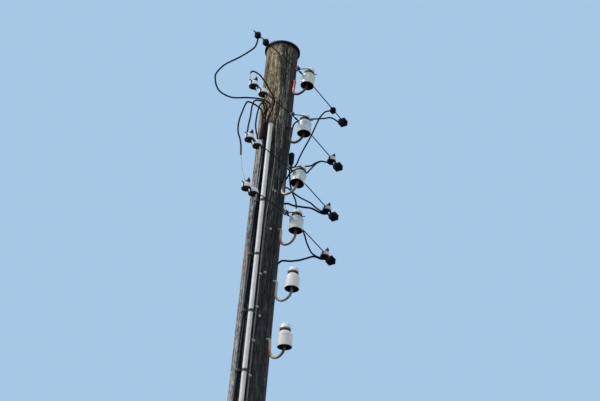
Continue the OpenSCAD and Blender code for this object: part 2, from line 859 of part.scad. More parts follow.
module rear_straps() {
    color("Gray")
        for (k = [0:straps])
            let (z = strap_top - k * strap_pitch)
                translate([0, 0, z - strap_w / 2])
                    linear_extrude(strap_w)
                        rear_strap_outline(z);
}

// Thin cable: straight up the pole, then over in a small arch, as turns round the pole and heights from its top
thin_drop = 1450;
thin_bend = pole_h - thin_drop;
thin_turns = [[0, -thin_drop], [3, -1300], [6, -1180], [9, -1040], [9, -900], [6, -780], [4, -690], [5, -650],
    [9, -620], [15, -610], [21, -622], [25, -655], [26, -700], [26, -780], [26, -860]];
function thin_at(a, z) = spot(a, pole_r(z) + thin_off, z);
thin_points = concat(
    [thin_at(thin_a, riser_foot)],
    [for (k = [1:9]) thin_at(thin_a, riser_foot + k * (thin_bend - riser_foot) / 10)],
    [for (q = thin_turns) thin_at(thin_a + q[0], pole_h + q[1])]);

module thin_cable() {
    color("SlateGray")
        sweep(thin_points, thin_d);
}

module clip_outline(z, a) {
    pr = pole_r(z) + seat;
    difference() {
        union() {
            rotate(a)
                translate([pole_r(z) + thin_off, 0])
                    circle(d = thin_d + 2 * seat + 3);
            intersection() {
                circle(r = pr + 1.5, $fn = 96);
                polygon([[0, 0], 2 * pr * [cos(a - 2), sin(a - 2)], 2 * pr * [cos(a + 6.5), sin(a + 6.5)]]);
            }
        }
        circle(r = pr, $fn = 96);
        rotate(a)
            translate([pole_r(z) + thin_off, 0])
                circle(d = thin_d + 2 * seat);
    }
}

module cable_clips() {
    color("Silver")
        for (k = [3:clips])
            let (z = clip_top - k * clip_pitch)
                translate([0, 0, z - 6])
                    linear_extrude(12)
                        clip_outline(z, thin_a);
}

pole_shaft();
pole_cap();
cap_nails();
hook(0);  // hook_1
hook(1);  // hook_2
hook(2);  // hook_3
hook(3);  // hook_4
hook(4);  // hook_5
hook(5);  // hook_6
insulator(0);  // insulator_1
insulator(1);  // insulator_2
insulator(2);  // insulator_3
insulator(3);  // insulator_4
insulator(4);  // insulator_5
insulator(5);  // insulator_6
tie_with_leg(0);  // tie_1
tie_with_leg(1);  // tie_2
tie_with_leg(2);  // tie_3
tie_with_leg(3);  // tie_4
tie(4);  // tie_5
tie(5);  // tie_6
conductor(0);  // conductor_1
conductor(1);  // conductor_2
conductor(2);  // conductor_3
conductor(3);  // conductor_4
binding_clamps();
clamp_hoods();
clamp_cores();
clamp_bolts();
tap_connectors();
tap_bolts();
tap_cables_left();
tap_cables_right();
conduit();
conduit_cap();
cable_bundle();
bundle_boot();
rear_bundle();
side_boot();
riser_straps();
rear_straps();
thin_cable();
cable_clips();
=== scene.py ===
"""A wooden utility pole with six bell insulators, tap clamps and a cable riser.

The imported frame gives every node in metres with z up, the ground at z = 0 and the pole on the z axis.
Each class below is one sub-assembly: it holds its sizes, builds its meshes and dresses them.
"""
from __future__ import annotations

import logging
import math
from dataclasses import dataclass, field
from enum import Enum
from typing import Any, Iterable, Sequence

import bmesh
import bpy
import numpy as np
from mathutils import Matrix, Vector


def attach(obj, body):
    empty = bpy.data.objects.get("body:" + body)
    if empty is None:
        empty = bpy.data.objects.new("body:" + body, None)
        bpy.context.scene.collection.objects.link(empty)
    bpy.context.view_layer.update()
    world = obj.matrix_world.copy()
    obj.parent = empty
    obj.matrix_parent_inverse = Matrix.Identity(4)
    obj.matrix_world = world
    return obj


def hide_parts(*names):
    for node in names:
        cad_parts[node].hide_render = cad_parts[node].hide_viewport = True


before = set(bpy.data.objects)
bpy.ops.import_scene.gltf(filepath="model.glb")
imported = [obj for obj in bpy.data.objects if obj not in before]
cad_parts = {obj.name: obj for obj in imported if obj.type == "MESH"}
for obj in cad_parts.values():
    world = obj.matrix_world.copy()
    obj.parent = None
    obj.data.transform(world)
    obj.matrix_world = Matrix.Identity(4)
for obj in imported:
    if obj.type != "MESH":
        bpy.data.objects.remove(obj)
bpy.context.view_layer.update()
log = logging.getLogger("utility_pole")

MM = 0.001
BODY = "root"
SEAT = 0.3 * MM  # gap between the pole and what is fixed on it
WELD = 0.02 * MM  # points of a CAD mesh that are nearer than this are one point
FLAT = math.radians(2)  # CAD faces that meet at less are merged
EDGE = math.radians(35)  # steeper edges of a CAD mesh are rounded
SHARP = math.radians(38)  # steeper edges stay sharp on turned pieces and on heads
WHOLE_TURN = 2 * math.pi

Colour = tuple[float, float, float, float]
Stops = tuple[tuple[float, Colour], ...]
Path = np.ndarray
Row = tuple[float, ...]
Pairs = tuple[tuple[float, float], ...]
Profile = list[tuple[float, float]]
Piece = bpy.types.Object
Mesh = bpy.types.Mesh
Material = bpy.types.Material
Tree = bpy.types.NodeTree
Node = bpy.types.Node
Socket = bpy.types.NodeSocket


class Side(Enum):
    """Side of the pole along the line: LEFT is toward -Y, RIGHT toward +Y."""

    LEFT = -1
    RIGHT = 1


class Slot(Enum):
    """Material slots of the record."""

    WOOD = "weathered_wood"
    CAP = "cap_sheet"
    NAIL = "nail_steel"
    HOOK = "hook_steel"
    PORCELAIN = "porcelain"
    TIE = "tie_wire"
    LINE = "line_wire"
    ALLOY = "clamp_alloy"
    HOOD = "hood_plastic"
    CORE = "rusty_metal"
    BOLT = "bolt_steel"
    CONNECTOR = "black_plastic"
    CABLE = "black_cable"
    CONDUIT = "conduit_plastic"
    BOOT = "boot_rubber"
    STRAP = "strap_steel"
    THIN = "grey_cable"
    CLIP = "clip_metal"


def tone(red: int, green: int, blue: int) -> Colour:
    """Turn red, green and blue of 0..255, as a screen shows them, into the linear colour that shaders take."""
    parts = [c / 255 for c in (red, green, blue)]
    return tuple(p / 12.92 if p <= 0.04045 else ((p + 0.055) / 1.055) ** 2.4 for p in parts) + (1.0,)


# --------------- sizes and places


@dataclass(frozen=True)
class Layout:
    """Sizes and places that the sub-assemblies share, in metres and degrees."""

    height: float = 7.6
    foot_r: float = 0.118
    top_r: float = 0.1065
    rims: Row = (7.204, 6.829, 6.434, 6.109, 5.712, 5.320)
    turns: Row = (0, 0, 0, 1, 4, -2)
    leans: Row = (-6, 0, -13, 0, 0, 4)
    hook_reach: float = 0.243
    hook_rise: float = 0.098
    groove_z: float = 0.103
    wire_x: float = 0.0361
    left_falls: Row = (3.8, 3.6, 3.0, 4.6)
    right_falls: Row = (3.8, 4.3, 4.3, 4.6)
    left_turn: float = 2
    right_turn: float = 4
    bindings: Row = (0.092, 0.105, 0.080, 0.075)
    extra_binding: float = 0.262
    riser_foot: float = 0.005

    def pole_r(self, z: Any) -> Any:
        """Return the radius of the pole at a height, or at each height of an array."""
        return self.foot_r + (self.top_r - self.foot_r) * z / self.height

    def on_pole(self, angle: float, off: float, z: float) -> Vector:
        """Return the point at an angle round the pole, off its surface, at a height."""
        flat = outward(angle) * (self.pole_r(z) + off)
        return Vector((flat.x, flat.y, z))

    def hook(self, index: int) -> Matrix:
        """Return the place of a hook: its X axis points out of the pole."""
        foot = Matrix.Translation((0, 0, self.rims[index] + self.hook_rise))
        return foot @ spun(self.turns[index], "Z") @ spun(self.leans[index], "X")

    def insulator(self, index: int) -> Matrix:
        """Return the place of an insulator, its rim at z = 0."""
        return self.hook(index) @ Matrix.Translation((self.hook_reach, 0, -self.hook_rise))

    def wire_start(self, index: int) -> Vector:
        """Return the point where a conductor passes the neck of its insulator."""
        return self.insulator(index) @ Vector((-self.wire_x, 0, self.groove_z))

    def on_line(self, side: Side, index: int, along: float) -> Matrix:
        """Return the place on a conductor at a distance from the neck.

        Args:
            side: Side of the pole.
            index: Line, counted from the top.
            along: Distance from the neck.

        Returns:
            The place, with Y along the conductor.
        """
        left = side is Side.LEFT
        turn, falls = (self.left_turn, self.left_falls) if left else (self.right_turn, self.right_falls)
        start, run = Matrix.Translation(self.wire_start(index)), Matrix.Translation((0, side.value * along, 0))
        return start @ spun(turn, "Z") @ spun(-side.value * falls[index], "X") @ run


LAYOUT = Layout()


# --------------- node trees


class Graph:
    """Adds linked nodes to one shader or geometry tree."""

    def __init__(self, tree: Tree) -> None:
        """Keep the tree that the nodes go into."""
        self.tree = tree

    def put(self, value: Any, socket: Socket) -> None:
        """Link a node's output to a socket, or set a plain value there."""
        if isinstance(value, Socket):
            self.tree.links.new(value, socket)
        else:
            socket.default_value = value

    def node(self, kind: str, links: dict[Any, Any] | None = None, **settings: Any) -> Node:
        """Add one node.

        Args:
            kind: The node's type.
            links: A socket to link, or a value to set, for each input name or number.
            **settings: The node's own settings.

        Returns:
            The new node.
        """
        made = self.tree.nodes.new(kind)
        for key, value in settings.items():
            setattr(made, key, value)
        for key, value in (links or {}).items():
            self.put(value, made.inputs[key])
        return made

    def geometry(self, kind: str, links: dict[Any, Any] | None = None, **settings: Any) -> Socket:
        """Add one geometry node and return its first output."""
        return self.node("GeometryNode" + kind, links, **settings).outputs[0]

    def math(self, operation: str, *values: Any, clamp: bool = False) -> Socket:
        """Return the result of a Math node."""
        return self.node("ShaderNodeMath", dict(enumerate(values)), operation=operation, use_clamp=clamp).outputs[0]

    def times(self, first: Any, second: Any, clamp: bool = False) -> Socket:
        """Return the product of two values."""
        return self.math("MULTIPLY", first, second, clamp=clamp)

    def plus(self, first: Any, second: Any) -> Socket:
        """Return the sum of two values."""
        return self.math("ADD", first, second)

    def minus(self, first: Any, second: Any) -> Socket:
        """Return the first value less the second."""
        return self.math("SUBTRACT", first, second)

    def weighted(self, *terms: tuple[Any, float]) -> Socket:
        """Return the sum of values that are each given with a weight."""
        total = self.times(*terms[0])
        for term in terms[1:]:
            total = self.plus(total, self.times(*term))
        return total

    def sway(self, value: Any, amount: float) -> Socket:
        """Return a value of 0..1 as a swing about zero, half the amount each way."""
        return self.times(self.minus(value, 0.5), amount)

    def vector(self, operation: str, *values: Any) -> Socket:
        """Return the result of a Vector Math node."""
        return self.node("ShaderNodeVectorMath", dict(enumerate(values)), operation=operation).outputs[0]

    def drawn_out(self, vector: Any, stretch: float) -> Socket:
        """Return coordinates in which a pattern is drawn out along z."""
        return self.vector("MULTIPLY", vector, (1.0, 1.0, stretch))

    def height(self, vector: Any) -> Socket:
        """Return the z part of a vector."""
        return self.node("ShaderNodeSeparateXYZ", {0: vector}).outputs[2]

    def span(self, value: Any, low: float, high: float, start: float = 0.0, end: float = 1.0) -> Socket:
        """Return a value taken smoothly from low..high to start..end."""
        return self.node("ShaderNodeMapRange", {0: value, 1: low, 2: high, 3: start, 4: end},
                         interpolation_type="SMOOTHSTEP").outputs[0]

    def noise(self, vector: Any, scale: Any, detail: float = 4.0, rough: float = 0.55) -> Socket:
        """Return the value of a Noise Texture."""
        return self.node("ShaderNodeTexNoise", {"Vector": vector, "Scale": scale, "Detail": detail,
                                                "Roughness": rough}).outputs[0]

    def ramp(self, value: Any, stops: Stops) -> Socket:
        """Return the colour of a Color Ramp.

        Args:
            value: Where on the ramp to read.
            stops: Place and colour of each stop, at least two of them.

        Returns:
            The colour.
        """
        made = self.node("ShaderNodeValToRGB", {0: value})
        points = made.color_ramp.elements
        points[0].position, points[0].color = stops[0]
        points[1].position, points[1].color = stops[-1]
        for place, colour in stops[1:-1]:
            points.new(place).color = colour
        return made.outputs[0]

    def mix(self, factor: Any, first: Any, second: Any) -> Socket:
        """Return the mix of two colours."""
        return self.node("ShaderNodeMix", {0: factor, 6: first, 7: second}, data_type="RGBA").outputs[2]

    def attribute(self, name: str) -> Socket:
        """Return the value of a mesh attribute."""
        return self.node("ShaderNodeAttribute", attribute_name=name).outputs["Fac"]


SOCKETS = {"vector": "NodeSocketVector", "value": "NodeSocketFloat", "count": "NodeSocketInt",
           "colour": "NodeSocketColor", "shape": "NodeSocketGeometry", "material": "NodeSocketMaterial",
           "object": "NodeSocketObject"}


def new_tree(kind: str, name: str, inputs: Sequence[tuple[str, str]], outputs: Sequence[tuple[str, str]]
             ) -> tuple[Graph, Any, Any]:
    """Start a node tree with named sockets.

    Args:
        kind: The tree's type.
        name: The tree's name.
        inputs: Name and sort of each input.
        outputs: Name and sort of each output.

    Returns:
        The graph, what it is given and what it puts out, both as sockets by name.
    """
    tree = bpy.data.node_groups.new(name, kind)
    for way, sockets in (("INPUT", inputs), ("OUTPUT", outputs)):
        for label, sort in sockets:
            tree.interface.new_socket(label, in_out=way, socket_type=SOCKETS[sort])
    graph = Graph(tree)
    return graph, graph.node("NodeGroupInput").outputs, graph.node("NodeGroupOutput").inputs


# --------------- shared shader effects


@dataclass
class Effects:
    """The shader groups that more than one material uses."""

    rust_tones: Stops = ((0.3, tone(62, 30, 20)), (0.5, tone(128, 62, 34)), (0.7, tone(176, 98, 58)))
    run_stretch: float = 0.12
    trees: dict[str, Tree] = field(default_factory=dict)

    def build(self) -> None:
        """Build every group once."""
        self.trees.update(fibre=self._fibre(), checks=self._checks(), rust=self._rust(), grime=self._grime(),
                          wear=self._wear())

    @staticmethod
    def _start(name: str, own: Sequence[str], *outputs: tuple[str, str]) -> tuple[Graph, Any, Any]:
        """Start a group that is given a Vector, a Scale and values of its own, with named, sorted outputs."""
        values = [(label, "value") for label in ("Scale", *own)]
        return new_tree("ShaderNodeTree", name, [("Vector", "vector"), *values], outputs)

    @staticmethod
    def _with_grain(g: Graph, given: Any) -> Socket:
        """Return the coordinates of a pattern that runs with the grain."""
        tall = g.times(given["Scale"], given["Stretch"])
        size = g.node("ShaderNodeCombineXYZ", {0: given["Scale"], 1: given["Scale"], 2: tall}).outputs[0]
        return g.vector("MULTIPLY", given["Vector"], size)

    def _fibre(self) -> Tree:
        """Long streaks along the pole's axis, coarse and fine."""
        g, given, out = self._start("fibre_grain", ["Stretch"], ("Value", "value"), ("Fine", "value"))
        place = self._with_grain(g, given)
        g.put(g.noise(place, 1.0, 5.0, 0.62), out["Value"])
        g.put(g.noise(place, 4.6, 3.0, 0.5), out["Fine"])
        return g.tree

    def _checks(self) -> Tree:
        """Thin drying cracks that run with the grain and come to an end."""
        g, given, out = self._start("drying_checks", ["Stretch", "Width"], ("Mask", "value"))
        place = self._with_grain(g, given)
        off = g.math("ABSOLUTE", g.minus(g.noise(place, 1.0, 2.0, 0.45), 0.5))
        line = g.minus(1.0, g.math("DIVIDE", off, given["Width"], clamp=True))
        ends = g.span(g.noise(place, 0.55, 2.0), 0.46, 0.56)
        g.put(g.times(line, ends), out["Mask"])
        return g.tree

    def _rust(self) -> Tree:
        """Patches of rust, their colour and their relief."""
        g, given, out = self._start("rust_patches", ["Amount"], ("Mask", "value"), ("Color", "colour"),
                                    ("Height", "value"))
        speck = g.noise(given["Vector"], given["Scale"], 7.0, 0.7)
        level = g.plus(speck, g.minus(given["Amount"], 0.5))
        patch = g.noise(given["Vector"], g.times(given["Scale"], 2.7), 5.0, 0.6)
        g.put(g.span(level, 0.47, 0.58), out["Mask"])
        g.put(g.ramp(patch, self.rust_tones), out["Color"])
        g.put(patch, out["Height"])
        return g.tree

    def _grime(self) -> Tree:
        """Dirt that runs down in streaks and gathers in specks."""
        g, given, out = self._start("rain_grime", ["Amount"], ("Mask", "value"))
        runs = g.noise(g.drawn_out(given["Vector"], self.run_stretch), given["Scale"], 4.0, 0.6)
        specks = g.noise(given["Vector"], g.times(given["Scale"], 3.0), 5.0, 0.65)
        both = g.plus(g.span(runs, 0.5, 0.72), g.span(specks, 0.58, 0.7, 0.0, 0.7))
        g.put(g.times(both, given["Amount"], clamp=True), out["Mask"])
        return g.tree

    def _wear(self) -> Tree:
        """Edges where a finish is rubbed thin, broken up by noise."""
        g, given, out = self._start("edge_wear", ["Amount"], ("Mask", "value"))
        edge = g.span(g.node("ShaderNodeNewGeometry").outputs["Pointiness"], 0.53, 0.62)
        broken = g.span(g.noise(given["Vector"], given["Scale"], 4.0), 0.35, 0.65)
        g.put(g.times(g.times(edge, broken), given["Amount"], clamp=True), out["Mask"])
        return g.tree


EFFECTS = Effects()


# --------------- finishes


class Surface(Graph):
    """A new material: its graph, its shader and its object coordinates."""

    def __init__(self, name: str) -> None:
        """Start the material."""
        self.material = bpy.data.materials.new(name)
        self.material.use_nodes = True
        super().__init__(self.material.node_tree)
        self.shader = self.tree.nodes["Principled BSDF"]
        self.place = self.node("ShaderNodeTexCoord").outputs["Object"]

    def set(self, **values: Any) -> None:
        """Link or set inputs of the shader, with _ for a space in their names."""
        for key, value in values.items():
            self.put(value, self.shader.inputs[key.replace("_", " ")])

    def effect(self, name: str, **values: Any) -> Node:
        """Place a shared group that reads this surface's coordinates, with values for its other inputs."""
        return self.node("ShaderNodeGroup", {"Vector": self.place, **values}, node_tree=EFFECTS.trees[name])

    def relief(self, height: Any, distance: float, strength: float) -> None:
        """Give the shader a bump from a height."""
        bump = self.node("ShaderNodeBump", {"Height": height, "Distance": distance, "Strength": strength})
        self.put(bump.outputs[0], self.shader.inputs["Normal"])


@dataclass(frozen=True)
class WoodFinish:
    """Old round timber: paler where the sun falls and darker elsewhere, partly from bleaching and preservative and
    partly as painted light and painted shade.

    Each row of colours runs from the furrows of the grain to its ridges. The tan of the head turns into a
    washed grey further down.
    """

    name: str = "old_timber"
    grain_scale: float = 95.0
    stretch: float = 0.09
    fleck_scale: float = 105.0
    head_from: float = 6.9
    washed_to: float = 6.4
    tan: Stops = ((0.38, tone(54, 47, 34)), (0.455, tone(115, 103, 78)), (0.515, tone(158, 144, 112)),
                  (0.60, tone(224, 210, 182)))
    washed: Stops = ((0.38, tone(48, 48, 46)), (0.455, tone(106, 108, 104)), (0.515, tone(152, 154, 150)),
                     (0.60, tone(214, 216, 210)))
    tarred_and_shaded: Stops = ((0.38, tone(24, 25, 25)), (0.46, tone(44, 46, 45)), (0.54, tone(64, 67, 65)),
                     (0.64, tone(98, 101, 97)))
    mossy: Stops = ((0.38, tone(54, 50, 20)), (0.6, tone(158, 150, 92)))
    blush: Stops = ((0.38, tone(104, 62, 48)), (0.62, tone(206, 168, 148)))
    seep: Colour = tone(62, 34, 26)
    crack: Colour = tone(22, 20, 18)

    def make(self) -> Material:
        """Build the material."""
        s = Surface(self.name)
        grain = s.effect("fibre", Scale=self.grain_scale, Stretch=self.stretch)
        broad = s.effect("fibre", Scale=22.0, Stretch=0.12)
        fleck = s.noise(s.drawn_out(s.place, 0.34), self.fleck_scale, 3.0, 0.62)
        coarse, wide, soft = grain.outputs["Value"], broad.outputs["Value"], broad.outputs["Fine"]
        streak = s.weighted((coarse, 0.26), (wide, 0.22), (fleck, 0.52))
        calm = s.weighted((streak, 0.5), (coarse, 0.3), (soft, 0.2))
        pale = s.mix(s.span(s.height(s.place), self.head_from, self.washed_to), s.ramp(streak, self.tan),
                     s.ramp(streak, self.washed))
        patch = s.noise(s.drawn_out(s.place, 0.25), 34.0, 3.0)
        bleach = s.plus(s.plus(s.attribute("bleach"), s.sway(soft, 0.7)), s.sway(patch, 0.9))
        # The tarred ramp is partly painted shade and the pale one partly painted light, mixed by the bleach mask.
        colour = s.mix(s.span(bleach, 0.18, 0.82), s.ramp(calm, self.tarred_and_shaded), pale)
        moss = s.times(s.attribute("algae"), s.span(s.noise(s.place, 42.0, 5.0), 0.34, 0.6))
        colour = s.mix(s.times(moss, 0.8), colour, s.ramp(streak, self.mossy))
        warm = s.times(s.attribute("warm"), s.span(wide, 0.38, 0.6))
        colour = s.mix(s.times(warm, 0.8), colour, s.ramp(streak, self.blush))
        stain = s.attribute("stain")
        rust = s.effect("rust", Scale=45.0, Amount=stain).outputs["Color"]
        run = s.times(stain, s.span(fleck, 0.36, 0.62, 0.35, 1.0))
        colour = s.mix(s.times(run, 0.8, clamp=True), colour, s.mix(0.55, rust, self.seep))
        split = self._split(s)
        s.set(Base_Color=s.mix(split, colour, self.crack), Specular_IOR_Level=0.25,
              Roughness=s.span(grain.outputs["Fine"], 0.3, 0.7, 0.95, 0.72))
        s.relief(s.minus(s.weighted((coarse, 0.5), (fleck, 0.5)), s.times(split, 0.8)), 0.0040, 0.9)
        return s.material

    @staticmethod
    def _split(s: Surface) -> Socket:
        """Return the mask of every check: the deep ones of the mesh, drawn ones and hair cracks."""
        checks = s.effect("checks", Scale=62.0, Stretch=0.04, Width=0.028).outputs["Mask"]
        hair = s.effect("checks", Scale=150.0, Stretch=0.05, Width=0.05).outputs["Mask"]
        deep = s.span(s.attribute("check"), 0.25, 0.85, 0.0, 0.85)
        return s.math("MAXIMUM", s.math("MAXIMUM", deep, s.times(checks, 0.8)), s.times(hair, 0.5))


@dataclass(frozen=True)
class GlazeFinish:
    """White glazed porcelain with rain dirt, specks, and a tint below the groove."""

    name: str
    white: Colour = tone(238, 240, 236)
    dirt: Colour = tone(122, 126, 116)
    amount: float = 0.4
    tint: Colour = tone(206, 216, 216)
    tinted: float = 0.5
    specks: float = 0.2
    groove: float = 0.103
    skirt_low: float = 0.030
    skirt_high: float = 0.060
    shadow: Colour = tone(62, 66, 60)
    speck_tone: Colour = tone(84, 88, 84)

    def make(self) -> Material:
        """Build the material."""
        s = Surface(self.name)
        rise = s.attribute("rise")
        grime = s.effect("grime", Scale=46.0, Amount=self.amount).outputs["Mask"]
        cloud = s.span(s.noise(s.place, 38.0, 4.0, 0.6), 0.32, 0.66)
        upper = self._between(s, rise, (self.skirt_low, self.skirt_high), (self.groove - 0.012, self.groove))
        wash = s.times(s.times(upper, self.tinted), s.plus(s.times(cloud, 0.7), 0.3))
        body = s.mix(wash, self.white, self.tint)
        body = s.mix(s.times(cloud, 0.35), body, s.mix(0.5, self.tint, self.dirt))
        under = self._between(s, rise, (self.groove - 0.012, self.groove - 0.004),
                              (self.groove + 0.008, self.groove + 0.016))
        body = s.mix(s.times(under, 0.75), body, self.shadow)
        body = s.mix(grime, body, self.dirt)
        speck = s.times(s.span(s.noise(s.place, 230.0, 3.0, 0.7), 0.55, 0.66), self.specks)
        s.set(Base_Color=s.mix(speck, body, self.speck_tone), Roughness=s.plus(0.27, s.times(grime, 0.4)),
              Coat_Weight=0.25, Coat_Roughness=0.16)
        s.relief(s.noise(s.place, 60.0, 2.0), 0.0006, 0.35)
        return s.material

    @staticmethod
    def _between(s: Surface, rise: Socket, start: tuple[float, float], end: tuple[float, float]) -> Socket:
        """Return a mask that comes in over one span of height and goes out over another."""
        return s.times(s.span(rise, *start), s.span(rise, end[1], end[0]))


@dataclass(frozen=True)
class RodFinish:
    """Round bar whose zinc, rust and dirt change along its length, with painted shade on faces that look down and some
    painted highlight and shade in the stops.
    """

    name: str
    stops: Stops
    rust: float = 0.2
    length: float = 0.46
    wander: float = 0.045
    shade: Colour = tone(52, 38, 34)

    def make(self) -> Material:
        """Build the material."""
        s = Surface(self.name)
        cloud = s.noise(s.place, 55.0, 5.0, 0.62)
        run = s.math("DIVIDE", s.plus(s.attribute("run"), s.sway(cloud, self.wander)), self.length)
        body = s.ramp(run, tuple((place / self.length, colour) for place, colour in self.stops))
        fine = s.span(s.noise(s.place, 210.0, 5.0, 0.7), 0.36, 0.64)
        body = s.mix(s.times(fine, 0.35), body, s.mix(0.6, body, self.shade))
        # Painted shade: faces that look down are darkened toward the shade colour, which also darkens the fine mottling
        # above.
        up = s.height(s.node("ShaderNodeNewGeometry").outputs["Normal"])
        low = s.times(s.span(s.plus(up, s.times(cloud, 0.4)), 0.15, -0.45), 0.62)
        body = s.mix(low, body, self.shade)
        rust = s.effect("rust", Scale=80.0, Amount=self.rust)
        mask = rust.outputs["Mask"]
        s.set(Base_Color=s.mix(mask, body, rust.outputs["Color"]), Metallic=s.times(s.minus(1.0, mask), 0.15),
              Roughness=s.plus(0.5, s.times(mask, 0.3)))
        s.relief(s.plus(s.times(rust.outputs["Height"], mask), s.times(fine, 0.4)), 0.0008, 0.8)
        return s.material


@dataclass(frozen=True)
class HoodFinish:
    """Weathered moulded hood: a pale dome over a dark band, with painted shade inside and on the domes that get less
    light.
    """

    name: str = "weathered_hood"
    pale: Colour = tone(248, 249, 247)
    dirt: Colour = tone(140, 134, 122)
    band: Colour = tone(34, 31, 29)
    dusty: Colour = tone(86, 80, 72)
    inner: Colour = tone(9, 8, 8)
    tint: Colour = tone(66, 24, 22)
    step: float = -0.0245

    def make(self) -> Material:
        """Build the material."""
        s = Surface(self.name)
        grime = s.effect("grime", Scale=70.0, Amount=0.2).outputs["Mask"]
        cloud = s.noise(s.place, 80.0, 5.0, 0.65)
        edge = s.plus(s.attribute("rise"), s.sway(cloud, 0.010))
        # Painted shade: a dome with a lower light level shows more of the dark band.
        dome = s.times(s.span(edge, self.step - 0.002, self.step + 0.003), s.attribute("paleness"))
        band = s.mix(s.span(cloud, 0.46, 0.70), self.band, self.dusty)
        outer = s.mix(dome, band, s.mix(grime, self.pale, self.dirt))
        # Painted shade in the hollow: the inside is near-black with a reddish tint.
        inner = s.mix(s.span(s.noise(s.place, 42.0, 4.0), 0.42, 0.58), self.inner, self.tint)
        inside = s.attribute("inside")
        s.set(Base_Color=s.mix(inside, outer, inner), Specular_IOR_Level=0.3,
              Roughness=s.plus(0.42, s.times(s.math("MAXIMUM", inside, grime), 0.35)))
        s.relief(s.noise(s.place, 700.0, 4.0, 0.6), 0.0004, 0.7)
        return s.material


@dataclass(frozen=True)
class MetalFinish:
    """Weathered metal with rust or patina in patches; on the clamp alloy the near-white patches are painted highlights.
    """

    name: str
    base: Colour
    dull: Colour
    rust: float = 0.3
    metallic: float = 0.6
    roughness: float = 0.5
    scale: float = 60.0
    patina: Colour | None = None
    rubbed: float = 0.4
    gloss: float = 0.5
    bright: Colour = tone(210, 206, 196)

    def make(self) -> Material:
        """Build the material."""
        s = Surface(self.name)
        rust = s.effect("rust", Scale=self.scale, Amount=self.rust)
        wear = s.effect("wear", Scale=self.scale * 4, Amount=self.rubbed).outputs["Mask"]
        blotch = s.span(s.noise(s.place, self.scale * 1.6, 5.0, 0.65), 0.36, 0.64)
        body = s.mix(blotch, self.base, self.dull)
        body = s.mix(wear, body, s.mix(0.5, self.base, self.bright))
        mask, height, stain = (rust.outputs[k] for k in ("Mask", "Height", "Color"))
        if self.patina:
            stain = s.mix(height, self.patina, s.mix(0.5, self.patina, self.dull))
        s.set(Base_Color=s.mix(mask, body, stain), Metallic=s.times(s.minus(1.0, mask), self.metallic),
              Roughness=s.plus(s.weighted((blotch, 0.12), (mask, 0.25)), self.roughness),
              Specular_IOR_Level=self.gloss)
        s.relief(s.times(height, mask), 0.0008, 0.8)
        return s.material


@dataclass(frozen=True)
class CoverFinish:
    """Plastic, rubber or coating: a mottled body with dust, dirt runs and rubbed edges, and a painted sheen where a
    sheen colour is given.
    """

    name: str
    base: Colour
    second: Colour
    dust: Colour
    grime: float = 0.4
    roughness: float = 0.5
    scale: float = 40.0
    grain: float = 0.0004
    gloss: float = 0.5
    sheen: Colour | None = None
    rubbed: float = 0.45

    def make(self) -> Material:
        """Build the material."""
        s = Surface(self.name)
        grime = s.effect("grime", Scale=self.scale, Amount=self.grime).outputs["Mask"]
        wear = s.effect("wear", Scale=self.scale * 5, Amount=self.rubbed).outputs["Mask"]
        blotch = s.span(s.noise(s.place, self.scale * 0.8, 5.0, 0.6), 0.35, 0.65)
        body = s.mix(grime, s.mix(blotch, self.base, self.second), self.dust)
        # Painted sheen: a pale highlight colour where the sheen attribute is set.
        if self.sheen:
            body = s.mix(s.times(s.attribute("sheen"), s.span(blotch, -0.4, 0.5)), body, self.sheen)
        s.set(Base_Color=s.mix(wear, body, s.mix(0.5, self.second, self.dust)), Specular_IOR_Level=self.gloss,
              Roughness=s.plus(self.roughness, s.times(grime, 0.3)))
        s.relief(s.noise(s.place, self.scale * 12, 4.0, 0.6), self.grain, 0.7)
        return s.material


